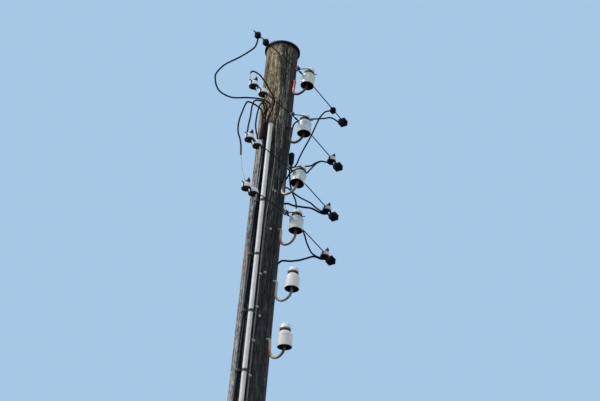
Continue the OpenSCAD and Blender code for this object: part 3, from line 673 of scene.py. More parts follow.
FINISHES: dict[str, Any] = {
    "wood": WoodFinish(),
    "glaze_1": GlazeFinish("glaze_1", tint=tone(198, 212, 168), tinted=0.95, amount=0.3, specks=0.1),
    "glaze_2": GlazeFinish("glaze_2", tint=tone(178, 200, 206), tinted=0.9, specks=0.2),
    "glaze_3": GlazeFinish("glaze_3", tint=tone(168, 182, 170), tinted=0.9, amount=0.55, specks=0.2),
    "glaze_4": GlazeFinish("glaze_4", tint=tone(176, 196, 200), tinted=0.8, amount=0.35, specks=0.75),
    "glaze_5": GlazeFinish("glaze_5", tone(246, 244, 240), tone(178, 176, 166), 0.22, tone(228, 226, 222), 0.4, 0.12),
    "glaze_6": GlazeFinish("glaze_6", tone(246, 242, 234), tone(178, 170, 152), 0.25, tone(230, 222, 206), 0.5, 0.12),
    # Bore finishes: a dark brown or rusty inside, made near-black as painted shade.
    "bore": CoverFinish("dark_bore", tone(10, 9, 8), tone(16, 12, 10), tone(30, 22, 17), 0.3, 0.7, 60.0, gloss=0.15),
    "bore_rusty": CoverFinish("rusty_bore", tone(13, 9, 7), tone(40, 22, 14), tone(72, 42, 24), 0.4, 0.7, 60.0,
                              gloss=0.15),
    "cap": CoverFinish("tarred_sheet", tone(8, 9, 13), tone(15, 15, 19), tone(36, 35, 35), 0.25, 0.6, 30.0,
                       0.001, 0.15),
    "nail": MetalFinish("dull_nail", tone(150, 148, 142), tone(108, 104, 98), 0.4, 0.7, 0.45, 120.0),
    "tie": MetalFinish("tie_copper", tone(20, 30, 30), tone(9, 13, 15), 0.22, 0.1, 0.6, 150.0,
                       tone(92, 128, 116), 0.15, 0.2),
    "tie_green": MetalFinish("green_tie", tone(50, 78, 76), tone(28, 46, 48), 0.3, 0.1, 0.6, 150.0,
                             tone(120, 140, 118), 0.15, 0.2),
    "line": MetalFinish("line_copper", tone(22, 27, 28), tone(12, 15, 19), 0.22, 0.3, 0.6, 110.0,
                        tone(48, 66, 56), 0.12, 0.25),
    # Clamp alloy: its near-white patina patches are painted highlights.
    "alloy": MetalFinish("clamp_alloy", tone(20, 36, 34), tone(8, 17, 18), 0.34, 0.1, 0.55, 46.0,
                         tone(238, 252, 246), 0.3, 0.2),
    "hood": HoodFinish(),
    "core": MetalFinish("brown_core", tone(30, 16, 14), tone(10, 8, 8), 0.34, 0.0, 0.8, 70.0,
                        tone(82, 34, 26), 0.1, 0.15),
    "bolt": MetalFinish("dark_bolt", tone(15, 17, 24), tone(8, 9, 14), 0.16, 0.0, 0.6, 130.0,
                        tone(52, 44, 44), 0.2, 0.2),
    "connector": CoverFinish("black_moulding", tone(6, 5, 7), tone(16, 10, 9), tone(50, 33, 27), 0.16, 0.65, 80.0,
                             0.0004, 0.08),
    # The black sheath's last colour is its pale painted sheen.
    "cable": CoverFinish("black_sheath", tone(4, 7, 18), tone(7, 10, 24), tone(34, 40, 52), 0.08, 0.55, 60.0,
                         0.0003, 0.12, tone(206, 222, 228)),
    "conduit": CoverFinish("pale_conduit", tone(240, 240, 234), tone(226, 226, 217), tone(142, 138, 120), 0.28, 0.42,
                           34.0),
    "boot": CoverFinish("dark_boot", tone(13, 10, 19), tone(20, 15, 27), tone(44, 40, 50), 0.2, 0.65, 50.0,
                        0.0004, 0.15),
    "boot_green": CoverFinish("green_boot", tone(16, 26, 26), tone(12, 16, 18), tone(44, 52, 50), 0.2, 0.65, 50.0,
                              0.0004, 0.15),
    "strap": MetalFinish("strap_zinc", tone(86, 84, 78), tone(50, 48, 45), 0.34, 0.4, 0.5, 90.0),
    "thin": CoverFinish("grey_sheath", tone(138, 132, 118), tone(112, 106, 94), tone(158, 150, 134), 0.45, 0.5, 50.0),
    "clip": MetalFinish("bright_clip", tone(206, 206, 200), tone(150, 148, 140), 0.22, 0.6, 0.4, 110.0),
    "stud": MetalFinish("grey_stud", tone(214, 216, 212), tone(150, 152, 150), 0.25, 0.3, 0.5, 120.0),
    "bare": MetalFinish("bare_wire", tone(196, 184, 178), tone(132, 118, 112), 0.22, 0.5, 0.42, 120.0),
    "light": CoverFinish("light_sheath", tone(128, 148, 154), tone(100, 118, 124), tone(150, 150, 140), 0.35, 0.5,
                         50.0),
}
MADE: dict[str, Material] = {}


def finish(name: str) -> Material:
    """Return a finish's material, built at its first use."""
    if name not in MADE:
        MADE[name] = FINISHES[name].make()
    return MADE[name]


# --------------- mesh helpers


def add_object(name: str, mesh: Mesh) -> Piece:
    """Link a new object for a mesh."""
    piece = bpy.data.objects.new(name, mesh)
    bpy.context.scene.collection.objects.link(piece)
    return piece


def mesh_of(name: str, points: Iterable[Sequence[float]], faces: Sequence[Sequence[int]] = (),
            edges: Sequence[Sequence[int]] = ()) -> Mesh:
    """Make a mesh from points, faces and edges."""
    mesh = bpy.data.meshes.new(name)
    mesh.from_pydata([tuple(p) for p in points], list(edges), list(faces))
    mesh.update()
    return mesh


def mark(mesh: Mesh, name: str, values: Any) -> None:
    """Keep a value for each point of a mesh, as an attribute that materials read."""
    mesh.attributes.new(name, "FLOAT", "POINT").data.foreach_set("value", np.asarray(values, np.float32))


def polylines(name: str, paths: Sequence[Path]) -> Mesh:
    """Make a mesh of loose edges, one run for each path."""
    points: list[Sequence[float]] = []
    edges: list[tuple[int, int]] = []
    for path in paths:
        first = len(points)
        points.extend(path)
        edges.extend((first + k, first + k + 1) for k in range(len(path) - 1))
    return mesh_of(name, points, edges=edges)


def bake(piece: Piece) -> None:
    """Turn the evaluated object into its own plain mesh and drop its modifiers."""
    graph = bpy.context.evaluated_depsgraph_get()
    mesh = bpy.data.meshes.new_from_object(piece.evaluated_get(graph), preserve_all_data_layers=True,
                                           depsgraph=graph)
    piece.modifiers.clear()
    piece.data = mesh


def face_outward(mesh: Mesh) -> None:
    """Point every face of a closed mesh outwards."""
    work = bmesh.new()
    work.from_mesh(mesh)
    bmesh.ops.recalc_face_normals(work, faces=work.faces)
    work.to_mesh(mesh)
    work.free()


def grow(name: str, source: Mesh, tree: Tree, **values: Any) -> Piece:
    """Run a geometry tree on a mesh and keep the result as a plain mesh.

    Args:
        name: The new object's name.
        source: The mesh that the tree starts from.
        tree: The geometry tree.
        **values: Its inputs, with _ for a space in their names.

    Returns:
        The object.
    """
    piece = add_object(name, source)
    modifier = piece.modifiers.new("shape", "NODES")
    modifier.node_group = tree
    given = [s for s in tree.interface.items_tree if s.item_type == "SOCKET" and s.in_out == "INPUT"]
    keys = {s.name: s.identifier for s in given}
    for key, value in values.items():
        modifier[keys[key.replace("_", " ")]] = value
    bake(piece)
    face_outward(piece.data)
    return piece


def join(name: str, pieces: Sequence[Piece]) -> Piece:
    """Join pieces into the first one, in place, and name it.

    Args:
        name: The joined piece's name.
        pieces: The pieces, at least one.

    Returns:
        The joined piece.
    """
    whole = pieces[0]
    if len(pieces) > 1:
        with bpy.context.temp_override(active_object=whole, object=whole, selected_objects=list(pieces),
                                       selected_editable_objects=list(pieces)):
            bpy.ops.object.join()
    whole.name = whole.data.name = name
    return whole


def dress(piece: Piece, look: str, slot: Slot, *nodes: str) -> None:
    """Give a piece its finish and its body, and hide the CAD nodes that it stands for.

    Args:
        piece: The finished piece.
        look: Name of its finish, or an empty string where its faces have theirs.
        slot: Its material slot in the record; not used.
        *nodes: CAD nodes that it replaces.
    """
    if look:
        piece.data.materials.clear()
        piece.data.materials.append(finish(look))
    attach(piece, BODY)
    if nodes:
        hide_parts(*nodes)
    log.info("%s: %d faces, finish %s", piece.name, len(piece.data.polygons), look or "by face")


def smooth_path(points: Sequence[Sequence[float]], steps: int = 8) -> Path:
    """Run a smooth curve through points.

    Args:
        points: The points, in millimetres.
        steps: New points for each span.

    Returns:
        The curve's points, in metres.
    """
    p = np.asarray(points, float) * MM
    last = len(p) - 1
    made = []
    for i in range(last):
        a, b, c, d = p[max(i - 1, 0)], p[i], p[i + 1], p[min(i + 2, last)]
        for k in range(steps):
            u = k / steps
            made.append(0.5 * (2 * b + (c - a) * u + (2 * a - 5 * b + 4 * c - d) * u ** 2
                               + (3 * b - a - 3 * c + d) * u ** 3))
    made.append(p[last])
    return np.array(made)


def from_top(points: Sequence[Sequence[float]]) -> Path:
    """Run a smooth curve through points given in millimetres from the middle of the pole's top."""
    return smooth_path([(x, y, z + LAYOUT.height / MM) for x, y, z in points])


def arc(cx: float, cz: float, r: float, start: float, end: float, steps: int) -> Profile:
    """Return points on an arc of a profile, from one angle to another in degrees."""
    turns = [math.radians(start + (end - start) * k / steps) for k in range(steps + 1)]
    return [(cx + r * math.cos(a), cz + r * math.sin(a)) for a in turns]


def spun(angle: float, axis: str) -> Matrix:
    """Return a turn in degrees about an axis."""
    return Matrix.Rotation(math.radians(angle), 4, axis)


def outward(angle: float) -> Vector:
    """Return the level direction out of the pole at an angle."""
    return Vector((math.cos(math.radians(angle)), math.sin(math.radians(angle)), 0))


def toward(place: Matrix, way: Sequence[float]) -> Vector:
    """Return a direction given in a place of its own, as a unit vector."""
    return (place.to_3x3() @ Vector(way)).normalized()


def placed(place: Matrix, points: Sequence[Sequence[float]]) -> Path:
    """Return a run of points moved to a place."""
    return np.array([tuple(place @ Vector(p)) for p in points])


def softened_node(name: str, node: str, width: float) -> Piece:
    """Copy a CAD node as a clean mesh with its edges rounded.

    Args:
        name: The new object's name.
        node: The CAD node.
        width: Width of the rounding.

    Returns:
        The object.
    """
    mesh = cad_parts[node].data.copy()
    work = bmesh.new()
    work.from_mesh(mesh)
    bmesh.ops.remove_doubles(work, verts=work.verts, dist=WELD)
    bmesh.ops.dissolve_limit(work, angle_limit=FLAT, verts=work.verts, edges=work.edges)
    bmesh.ops.recalc_face_normals(work, faces=work.faces)
    for face in work.faces:
        face.smooth = True
    work.to_mesh(mesh)
    work.free()
    piece = add_object(name, mesh)
    rounding = piece.modifiers.new("rounding", "BEVEL")
    rounding.width = width
    rounding.segments = 2
    rounding.limit_method = "ANGLE"
    rounding.angle_limit = EDGE
    rounding.harden_normals = True
    bake(piece)
    piece.data.set_sharp_from_angle(angle=EDGE)
    return piece


def dress_node(name: str, node: str, width: float, look: str, slot: Slot) -> None:
    """Dress a softened copy of a CAD node, which it replaces."""
    dress(softened_node(name, node, width), look, slot, node)


# --------------- geometry trees


@dataclass
class Shapes:
    """The geometry trees that make what repeats, follows a path or is turned."""

    weld: float = 0.005 * MM
    strand_sides: int = 8
    wire_sides: int = 8
    coil_steps: int = 28
    spin: float = 6.28
    trees: dict[str, Tree] = field(default_factory=dict)

    def build(self) -> None:
        """Build every tree once."""
        self.trees.update(sheath=self._sheath(), strands=self._strands(), turned=self._turned(),
                          heads=self._heads(), winding=self._winding())

    @staticmethod
    def _start(name: str, **own: str) -> tuple[Graph, Any, Any]:
        """Start a tree that is given a Shape, sorted values of its own, with _ for a space, and a Material."""
        inputs = [(label.replace("_", " "), sort) for label, sort in own.items()]
        return new_tree("GeometryNodeTree", name, [("Shape", "shape"), *inputs, ("Material", "material")],
                        [("Shape", "shape")])

    @staticmethod
    def _close(g: Graph, shape: Any, given: Any, out: Any) -> Tree:
        """End a tree with realized, smooth faces and their material.

        Args:
            g: The tree's graph.
            shape: What it has made.
            given: Its given sockets.
            out: Its outputs.

        Returns:
            The finished tree.
        """
        real = g.geometry("RealizeInstances", {"Geometry": shape})
        shade = g.geometry("SetShadeSmooth", {"Geometry": real, "Shade Smooth": True})
        paint = g.geometry("SetMaterial", {"Geometry": shade, "Material": given["Material"]})
        g.put(paint, out["Shape"])
        return g.tree

    @staticmethod
    def _curve(g: Graph, given: Any) -> Socket:
        """Return the given edges as a curve."""
        return g.geometry("MeshToCurve", {"Mesh": given["Shape"]})

    @staticmethod
    def _ring(g: Graph, sides: Any, radius: Any) -> Socket:
        """Return a round section."""
        return g.geometry("CurvePrimitiveCircle", {"Resolution": sides, "Radius": radius}, mode="RADIUS")

    @staticmethod
    def _measured(g: Graph, curve: Any) -> Socket:
        """Return a curve whose points keep their distance along it as an attribute."""
        length = g.node("GeometryNodeSplineParameter").outputs["Length"]
        return g.geometry("StoreNamedAttribute", {"Geometry": curve, "Name": "run", "Value": length},
                          data_type="FLOAT", domain="POINT")

    @staticmethod
    def _swept(g: Graph, curve: Any, section: Any) -> Socket:
        """Return the closed tube that a section makes along a curve."""
        return g.geometry("CurveToMesh", {"Curve": curve, "Profile Curve": section, "Fill Caps": True})

    def _sheath(self) -> Tree:
        """A round tube along each run of edges."""
        g, given, out = self._start("round_sheath", Radius="value", Sides="count")
        curve = self._measured(g, self._curve(g, given))
        return self._close(g, self._swept(g, curve, self._ring(g, given["Sides"], given["Radius"])), given, out)

    def _strands(self) -> Tree:
        """Strands laid round a path, with a middle strand."""
        g, given, out = self._start("laid_strands", Strand_Radius="value", Lay_Radius="value", Strands="count",
                                    Turns_per_Metre="value", Step="value", Sides="count", Middle_Radius="value")
        even = g.geometry("ResampleCurve", {"Curve": self._curve(g, given), "Length": given["Step"]}, mode="LENGTH")
        length = g.node("GeometryNodeSplineParameter").outputs["Length"]
        turn = g.times(g.times(length, given["Turns per Metre"]), WHOLE_TURN)
        laid = g.geometry("SetCurveTilt", {"Curve": self._measured(g, even), "Tilt": turn})
        strand = self._ring(g, given["Sides"], given["Strand Radius"])
        middle = self._ring(g, given["Sides"], given["Middle Radius"])
        seats = g.geometry("MeshCircle", {"Vertices": given["Strands"], "Radius": given["Lay Radius"]})
        seated = g.geometry("InstanceOnPoints", {"Points": seats, "Instance": strand})
        section = g.node("GeometryNodeJoinGeometry")
        g.put(g.geometry("RealizeInstances", {"Geometry": seated}), section.inputs[0])
        g.put(middle, section.inputs[0])
        return self._close(g, self._swept(g, laid, section.outputs[0]), given, out)

    def _turned(self) -> Tree:
        """A body turned round the z axis from a profile given as points (radius, 0, height)."""
        g, given, out = self._start("turned_body", Sides="count")
        count = g.node("GeometryNodeAttributeDomainSize", {"Geometry": given["Shape"]},
                       component="MESH").outputs["Point Count"]
        around = g.plus(given["Sides"], 1.0)
        grid = g.geometry("MeshGrid", {"Vertices X": count, "Vertices Y": around})
        index = g.geometry("InputIndex")
        along = g.math("FLOOR", g.math("DIVIDE", g.plus(index, 0.5), around))
        spin = g.minus(index, g.times(along, around))
        angle = g.times(g.math("DIVIDE", spin, given["Sides"]), WHOLE_TURN)
        where = g.geometry("InputPosition")
        sample = g.geometry("SampleIndex", {"Geometry": given["Shape"], "Value": where, "Index": along},
                            data_type="FLOAT_VECTOR", domain="POINT")
        radius, _, height = g.node("ShaderNodeSeparateXYZ", {0: sample}).outputs
        ring = g.node("ShaderNodeCombineXYZ", {0: g.times(radius, g.math("COSINE", angle)),
                                               1: g.times(radius, g.math("SINE", angle)), 2: height}).outputs[0]
        moved = g.geometry("SetPosition", {"Geometry": grid, "Position": ring})
        closed = g.geometry("MergeByDistance", {"Geometry": moved, "Distance": self.weld})
        return self._close(g, closed, given, out)

    def _heads(self) -> Tree:
        """A template placed at each point, facing along its attribute, with a seeded spin."""
        g, given, out = self._start("placed_heads", Template="object", Seed="count")
        facing = g.geometry("InputNamedAttribute", {"Name": "facing"}, data_type="FLOAT_VECTOR")
        align = g.node("FunctionNodeAlignRotationToVector", {"Vector": facing}, axis="Z").outputs[0]
        spin = g.node("FunctionNodeRandomValue", {"Max": 1.0, "Seed": given["Seed"]}, data_type="FLOAT")
        chance = next(o for o in spin.outputs if o.enabled)
        twist = g.node("FunctionNodeAxisAngleToRotation", {"Axis": (0, 0, 1), "Angle": g.times(chance, self.spin)})
        turned = g.node("FunctionNodeRotateRotation", {"Rotation": align, "Rotate By": twist.outputs[0]},
                        rotation_space="LOCAL").outputs[0]
        head = g.node("GeometryNodeObjectInfo", {"Object": given["Template"]}).outputs["Geometry"]
        heads = g.geometry("InstanceOnPoints", {"Points": given["Shape"], "Instance": head, "Rotation": turned})
        return self._close(g, heads, given, out)

    def _winding(self) -> Tree:
        """Wire wound round the z axis."""
        g, given, out = self._start("wire_winding", Turns="value", Radius="value", Length="value",
                                    Wire_Radius="value")
        ends = {"Start Radius": given["Radius"], "End Radius": given["Radius"], "Height": given["Length"]}
        coil = g.geometry("CurveSpiral", {"Resolution": self.coil_steps, "Rotations": given["Turns"], **ends})
        ring = self._ring(g, self.wire_sides, given["Wire Radius"])
        return self._close(g, self._swept(g, self._measured(g, coil), ring), given, out)

    def sheath(self, name: str, paths: Sequence[Path], radius: float, look: str, sides: int) -> Piece:
        """Make round tubes of one radius along paths."""
        return grow(name, polylines(name, paths), self.trees["sheath"], Radius=radius, Sides=sides,
                    Material=finish(look))

    def strands(self, name: str, path: Path, strand_r: float, lay_r: float, count: int, turns: float, step: float,
                middle: float, look: str) -> Piece:
        """Make three or more strands laid round one path and a middle strand, in sections of one step."""
        return grow(name, polylines(name, [path]), self.trees["strands"], Strand_Radius=strand_r, Lay_Radius=lay_r,
                    Strands=count, Turns_per_Metre=turns, Step=step, Sides=self.strand_sides, Middle_Radius=middle,
                    Material=finish(look))

    def turned(self, name: str, profile: Profile | Pairs, look: str, sides: int,
               place: Matrix | None = None) -> Piece:
        """Make a turned body and put it in place.

        Args:
            name: The new object's name.
            profile: Radius and height of its points in millimetres. One that starts off the axis is closed.
            look: Name of its finish.
            sides: Faces round it.
            place: Where it goes, if not on the z axis.

        Returns:
            The object.
        """
        closed = [*profile, profile[0]] if profile[0][0] > 0 else profile
        mesh = mesh_of(name, [(r * MM, 0, z * MM) for r, z in closed])
        made = grow(name, mesh, self.trees["turned"], Sides=sides, Material=finish(look))
        made.data.set_sharp_from_angle(angle=SHARP)
        if place is not None:
            made.data.transform(place)
        return made

    def heads(self, name: str, spots: Sequence[tuple[Vector, Vector]], template: Piece, look: str,
              seed: int = 3) -> Piece:
        """Place a template at each spot.

        Args:
            name: The new object's name.
            spots: Point of each head and the direction that it faces.
            template: The head that is repeated.
            look: Name of their finish.
            seed: Seed of their spins.

        Returns:
            The object.
        """
        mesh = mesh_of(name, [p for p, _ in spots])
        facing = mesh.attributes.new("facing", "FLOAT_VECTOR", "POINT")
        facing.data.foreach_set("vector", np.array([tuple(n) for _, n in spots], np.float32).ravel())
        made = grow(name, mesh, self.trees["heads"], Template=template, Seed=seed, Material=finish(look))
        made.data.set_sharp_from_angle(angle=SHARP)
        return made

    def winding(self, name: str, turns: float, radius: float, length: float, wire_r: float, look: str,
                place: Matrix) -> Piece:
        """Make a winding round the z axis of a place."""
        made = grow(name, mesh_of(name, [(0, 0, 0)]), self.trees["winding"], Turns=turns, Radius=radius,
                    Length=length, Wire_Radius=wire_r, Material=finish(look))
        made.data.transform(place)
        return made


SHAPES = Shapes()


# --------------- pole


def near(headings: np.ndarray, middle: float, half: float) -> np.ndarray:
    """Return a soft mask round a heading in degrees."""
    return np.exp(-(((headings - middle + 180) % 360 - 180) / half) ** 2)


def hump(values: np.ndarray, middle: float, half: float) -> np.ndarray:
    """Return a soft mask round a height."""
    return np.exp(-((values - middle) / half) ** 2)


def ease(values: np.ndarray, low: float, high: float) -> np.ndarray:
    """Return a smooth step from 0 at the low height to 1 at the high one."""
    t = np.clip((values - low) / (high - low), 0, 1)
    return t * t * (3 - 2 * t)


@dataclass
class PoleShaft:
    """The round timber: fluted by weather, with drying checks that follow the spiral of the grain.

    A marked check is given by its heading, middle height, length and depth, and a sway of the grain by its
    reach, pace and start.
    """

    around: int = 240
    rows: int = 396
    spiral: float = 2.2
    sways: tuple[tuple[float, float, float], ...] = ((0.012, 2.1, 1), (0.008, 5.3, 0))
    flute_depth: float = 0.00055
    lump_depth: float = 0.0007
    skin: float = 0.0002
    checks: int = 95
    head_checks: int = 14
    check_half: float = 0.75
    full_check: float = 0.0035
    marked: tuple[tuple[float, float, float, float], ...] = (
        (-127, 5.85, 1.2, 0.0065), (-132, 5.3, 0.9, 0.005), (-123, 6.6, 0.5, 0.004), (-30, 7.38, 0.42, 0.006),
        (-41, 7.02, 0.6, 0.006), (-20, 6.6, 0.9, 0.005), (-8, 5.9, 1.4, 0.005))
    stain_half: float = 9.0
    stained: tuple[int, ...] = (0, 3, 5)
    faint: float = 0.7
    seed: int = 11

    def build(self) -> None:
        """Build and dress the shaft."""
        z = np.linspace(0.0, LAYOUT.height, self.rows)[:, None]
        angle = WHOLE_TURN * np.arange(self.around)[None, :] / self.around + np.radians(self.spiral) * z
        for reach, pace, start in self.sways:
            angle = angle + reach * np.sin(pace * z + start)
        depth, split = self._checks(z)
        inward = (self._ripple(angle, z, (16, 90), 2.5, 26, 5) * self.flute_depth
                  + self._ripple(angle, z, (2, 7), 3.0, 10, 9) * self.lump_depth)
        radius = LAYOUT.pole_r(z) - (inward - inward.min() + self.skin) - depth
        points = np.stack([radius * np.cos(angle), radius * np.sin(angle), np.broadcast_to(z, radius.shape)], -1)
        mesh = self._skin(points.reshape(-1, 3))
        heading = (np.degrees(angle) + 180) % 360 - 180
        for name, values in self._weather(heading, z, split).items():
            ends = [values[0].mean(), values[-1].mean()]
            mark(mesh, name, np.concatenate([values.ravel(), ends]))
        piece = add_object("timber_shaft", mesh)
        face_outward(mesh)
        dress(piece, "wood", Slot.WOOD, "pole_shaft")

    def _skin(self, points: np.ndarray) -> Mesh:
        """Return the shaft's closed mesh: rings of points, then a middle point at each end."""
        n, last = self.around, self.rows - 1
        points = np.vstack([points, [[0, 0, 0], [0, 0, LAYOUT.height]]])
        row = np.arange(last)[:, None] * n
        k = np.arange(n)[None, :]
        after = (k + 1) % n
        quads = np.stack([row + k, row + after, row + n + after, row + n + k], -1).reshape(-1, 4)
        foot, top, rim = len(points) - 2, len(points) - 1, last * n
        ends = [((i + 1) % n, i, foot) for i in range(n)] + [(rim + i, rim + (i + 1) % n, top) for i in range(n)]
        mesh = mesh_of("timber_shaft", points, quads.tolist() + ends)
        mesh.polygons.foreach_set("use_smooth", [True] * len(mesh.polygons))
        return mesh

    def _ripple(self, angle: np.ndarray, z: np.ndarray, waves: tuple[int, int], drift: float, terms: int,
                seed: int) -> np.ndarray:
        """Return a smooth random relief round the pole.

        Args:
            angle: Angle of each point, in radians.
            z: Height of each row.
            waves: Fewest waves round the pole, and one more than the most.
            drift: How far the waves wander along the pole.
            terms: Number of waves.
            seed: Seed of the draws.

        Returns:
            The relief, about -1 to 1.
        """
        rng = np.random.default_rng(self.seed * 100 + seed)
        total = np.zeros(np.broadcast(angle, z).shape)
        for _ in range(terms):
            k = int(rng.integers(*waves))
            total += np.cos(k * angle + rng.uniform(-drift, drift) * z + rng.uniform(0, 2 * np.pi))
        return total / math.sqrt(terms)

    def _checks(self, z: np.ndarray) -> tuple[np.ndarray, np.ndarray]:
        """Return the depth of the drying checks and their mask, for each row and column."""
        rng = np.random.default_rng(self.seed)
        depth = np.zeros((self.rows, self.around))
        column = np.arange(self.around)[None, :]
        for k in range(self.checks + len(self.marked)):
            middle, length = rng.uniform(0, LAYOUT.height), min(0.12 + rng.exponential(0.55), 2.6)
            where, deep = rng.uniform(0, self.around), rng.uniform(0.0016, 0.0050) * (1.9 if k % 9 == 0 else 1.0)
            if k < self.head_checks:
                middle, length, deep = rng.uniform(5.0, 7.4), rng.uniform(0.4, 1.5), rng.uniform(0.003, 0.0055)
                where = self.around * ((rng.uniform(-125, 25) / 360) % 1)
            if k >= self.checks:
                heading, middle, length, deep = self.marked[k - self.checks]
                where = self.around * (((heading - self.spiral * middle) / 360) % 1)
            u = np.clip((z - middle) / length + 0.5, 0, 1)
            line = where + 0.7 * np.sin(9 * u + k) + 0.3 * np.sin(31 * u + 2 * k)
            off = (column - line + self.around / 2) % self.around - self.around / 2
            depth = np.maximum(depth, deep * np.exp(-(off / self.check_half) ** 2) * np.sin(np.pi * u) ** 0.5)
        return depth, np.clip(depth / self.full_check, 0, 1)

    def _weather(self, heading: np.ndarray, z: np.ndarray, split: np.ndarray) -> dict[str, np.ndarray]:
        """Return the weathering masks of the shaft.

        Args:
            heading: Heading of each point, in degrees.
            z: Height of each row.
            split: Mask of the checks.

        Returns:
            The masks, 0 to 1, by attribute name.
        """
        noise = self._ripple(np.radians(heading), z, (1, 6), 4.0, 14, 21) * 0.12
        streak = self._ripple(np.radians(heading), z, (8, 60), 1.6, 20, 22) * 0.13
        # The sunny side is paler, partly from bleaching and partly as painted light; the wide band near the top is
        # painted light where the sun falls.
        sunny = np.maximum(near(heading, -122, 34), 0.95 * near(heading, -72, 48) * ease(z, 6.55, 7.1))
        sunny = np.maximum(sunny, 0.5 * near(heading, -170, 60))
        head_moss = near(heading, -122, 30) * ease(z, 6.7, 7.1) * (0.9 + 3 * noise)
        foot_moss = 0.5 * (1 - ease(z, 0.1, 0.7)) * near(heading, 60, 90)
        blush = near(heading, -116, 22) * (hump(z, 5.92, 0.17) + 0.6 * hump(z, 5.35, 0.3))
        stain = self._stain(heading, z)
        masks = {"bleach": 0.10 + 0.85 * sunny + noise + streak - 0.22 * hump(z, 5.85, 0.3),
                 "algae": head_moss + foot_moss, "warm": blush + 2 * noise * near(heading, -110, 30),
                 "stain": stain + 2 * noise * (stain > 0.05), "check": split}
        return {name: np.clip(mask, 0, 1) for name, mask in masks.items()}

    def _stain(self, heading: np.ndarray, z: np.ndarray) -> np.ndarray:
        """Return the rust that has run down from the hooks, the high nail and one more bolt."""
        stain = 0.85 * near(heading, 7, 9) * ease(z, 7.2, 7.42) + 0.5 * near(heading, -104, 4) * hump(z, 5.86, 0.12)
        for i, rim in enumerate(LAYOUT.rims):
            top = rim + LAYOUT.hook_rise
            run = np.clip((top - z) / (0.42 - 0.03 * i), 0, 1)
            below = np.where(z < top + 0.012, (1 - run) ** 0.8, 0)
            weight = 1.0 if i in self.stained else self.faint
            stain += near(heading, LAYOUT.turns[i] + 3, self.stain_half) * below * weight
        return stain


@dataclass
class PoleCap:
    """The sheet cap on the pole's top, with its nails. Each fold is given in from the edge and up."""

    overhang: float = 11.0
    sheet: float = 3.0
    lip: float = 15.0
    rise: float = 12.0
    gap: float = 0.3
    folds: Pairs = ((22, 1.9), (60, 6.4), (100, 10.6))
    nails_in: float = 25.0
    nail_turns: Row = (20, 140, 260)

    def build(self, template: Piece) -> None:
        """Build and dress the cap and its nails.

        Args:
            template: The nail head that is repeated.
        """
        edge, top = LAYOUT.top_r / MM + self.overhang, LAYOUT.height / MM + self.gap
        low, roof = top - self.lip, top + self.sheet
        outer = [(edge - self.sheet + 0.3, low), (edge - 1.5, low - 0.3), (edge - 0.2, low + 1.2)]
        folds = [(edge - inset, roof + up) for inset, up in self.folds]
        inner = [(0, roof + self.rise), (0, top), (edge - self.sheet, top)]
        cap = SHAPES.turned("sheet_cap", outer + arc(edge - 4, roof - 4, 4, 0, 80, 5) + folds + inner, "cap", 96)
        dress(cap, "cap", Slot.CAP, "pole_cap")
        slope = self.rise / edge
        reach, z = LAYOUT.top_r / MM - self.nails_in, roof + slope * (self.overhang + self.nails_in)
        spots = [((outward(a) * reach + Vector((0, 0, z))) * MM, outward(a) * slope + Vector((0, 0, 1)))
                 for a in self.nail_turns]
        dress(SHAPES.heads("cap_nail_heads", spots, template, "nail"), "nail", Slot.NAIL, "cap_nails")


# --------------- hooks and insulators


@dataclass
class HookRow:
    """The six bent rods that carry the insulators."""

    span: float = 0.110
    bend_r: float = 0.020
    rod_r: float = 0.008
    grip: float = 0.095
    pin: float = 0.100
    lowers: Row = (0, 0, 0.018, 0.049, 0.013, 0.014)
    drops: Row = (0.044, 0.044, 0.066, 0.078, 0.061, 0.048)

    def path(self, index: int) -> Path:
        """Return the rod's middle line in the hook's own place.

        Args:
            index: Hook, counted from the top.

        Returns:
            The points: out of the pole, down the leg, round the bowl and up the pin.
        """
        leg, half = LAYOUT.hook_reach - self.span, self.span / 2
        start = LAYOUT.pole_r(LAYOUT.rims[index]) - self.grip
        high, low = -self.lowers[index], half - LAYOUT.hook_rise - self.drops[index]
        bend = [(leg - self.bend_r * (1 - math.sin(a)), 0, high - self.bend_r * (1 - math.cos(a)))
                for a in np.linspace(0, np.pi / 2, 9)]
        bowl = [(leg + half * (1 - math.cos(a)), 0, low - half * math.sin(a)) for a in np.linspace(0, np.pi, 29)]
        tip = (LAYOUT.hook_reach, 0, self.pin - LAYOUT.hook_rise)
        return np.array([(start, 0, high), (leg - self.bend_r - 0.012, 0, high)] + bend + bowl + [tip])

    def build(self) -> None:
        """Build and dress the hooks, each with its own rust, and some painted highlight and shade, along the rod."""
        for i, (rust, stops) in enumerate(ROD_LOOKS):
            name = f"hook_rod_{i + 1}"
            FINISHES[name] = RodFinish(name, tuple((place, tone(*colour)) for place, colour in stops), rust)
            rod = SHAPES.sheath(name, [self.path(i)], self.rod_r, name, 24)
            rod.data.transform(LAYOUT.hook(i))
            dress(rod, name, Slot.HOOK, f"hook_{i + 1}")


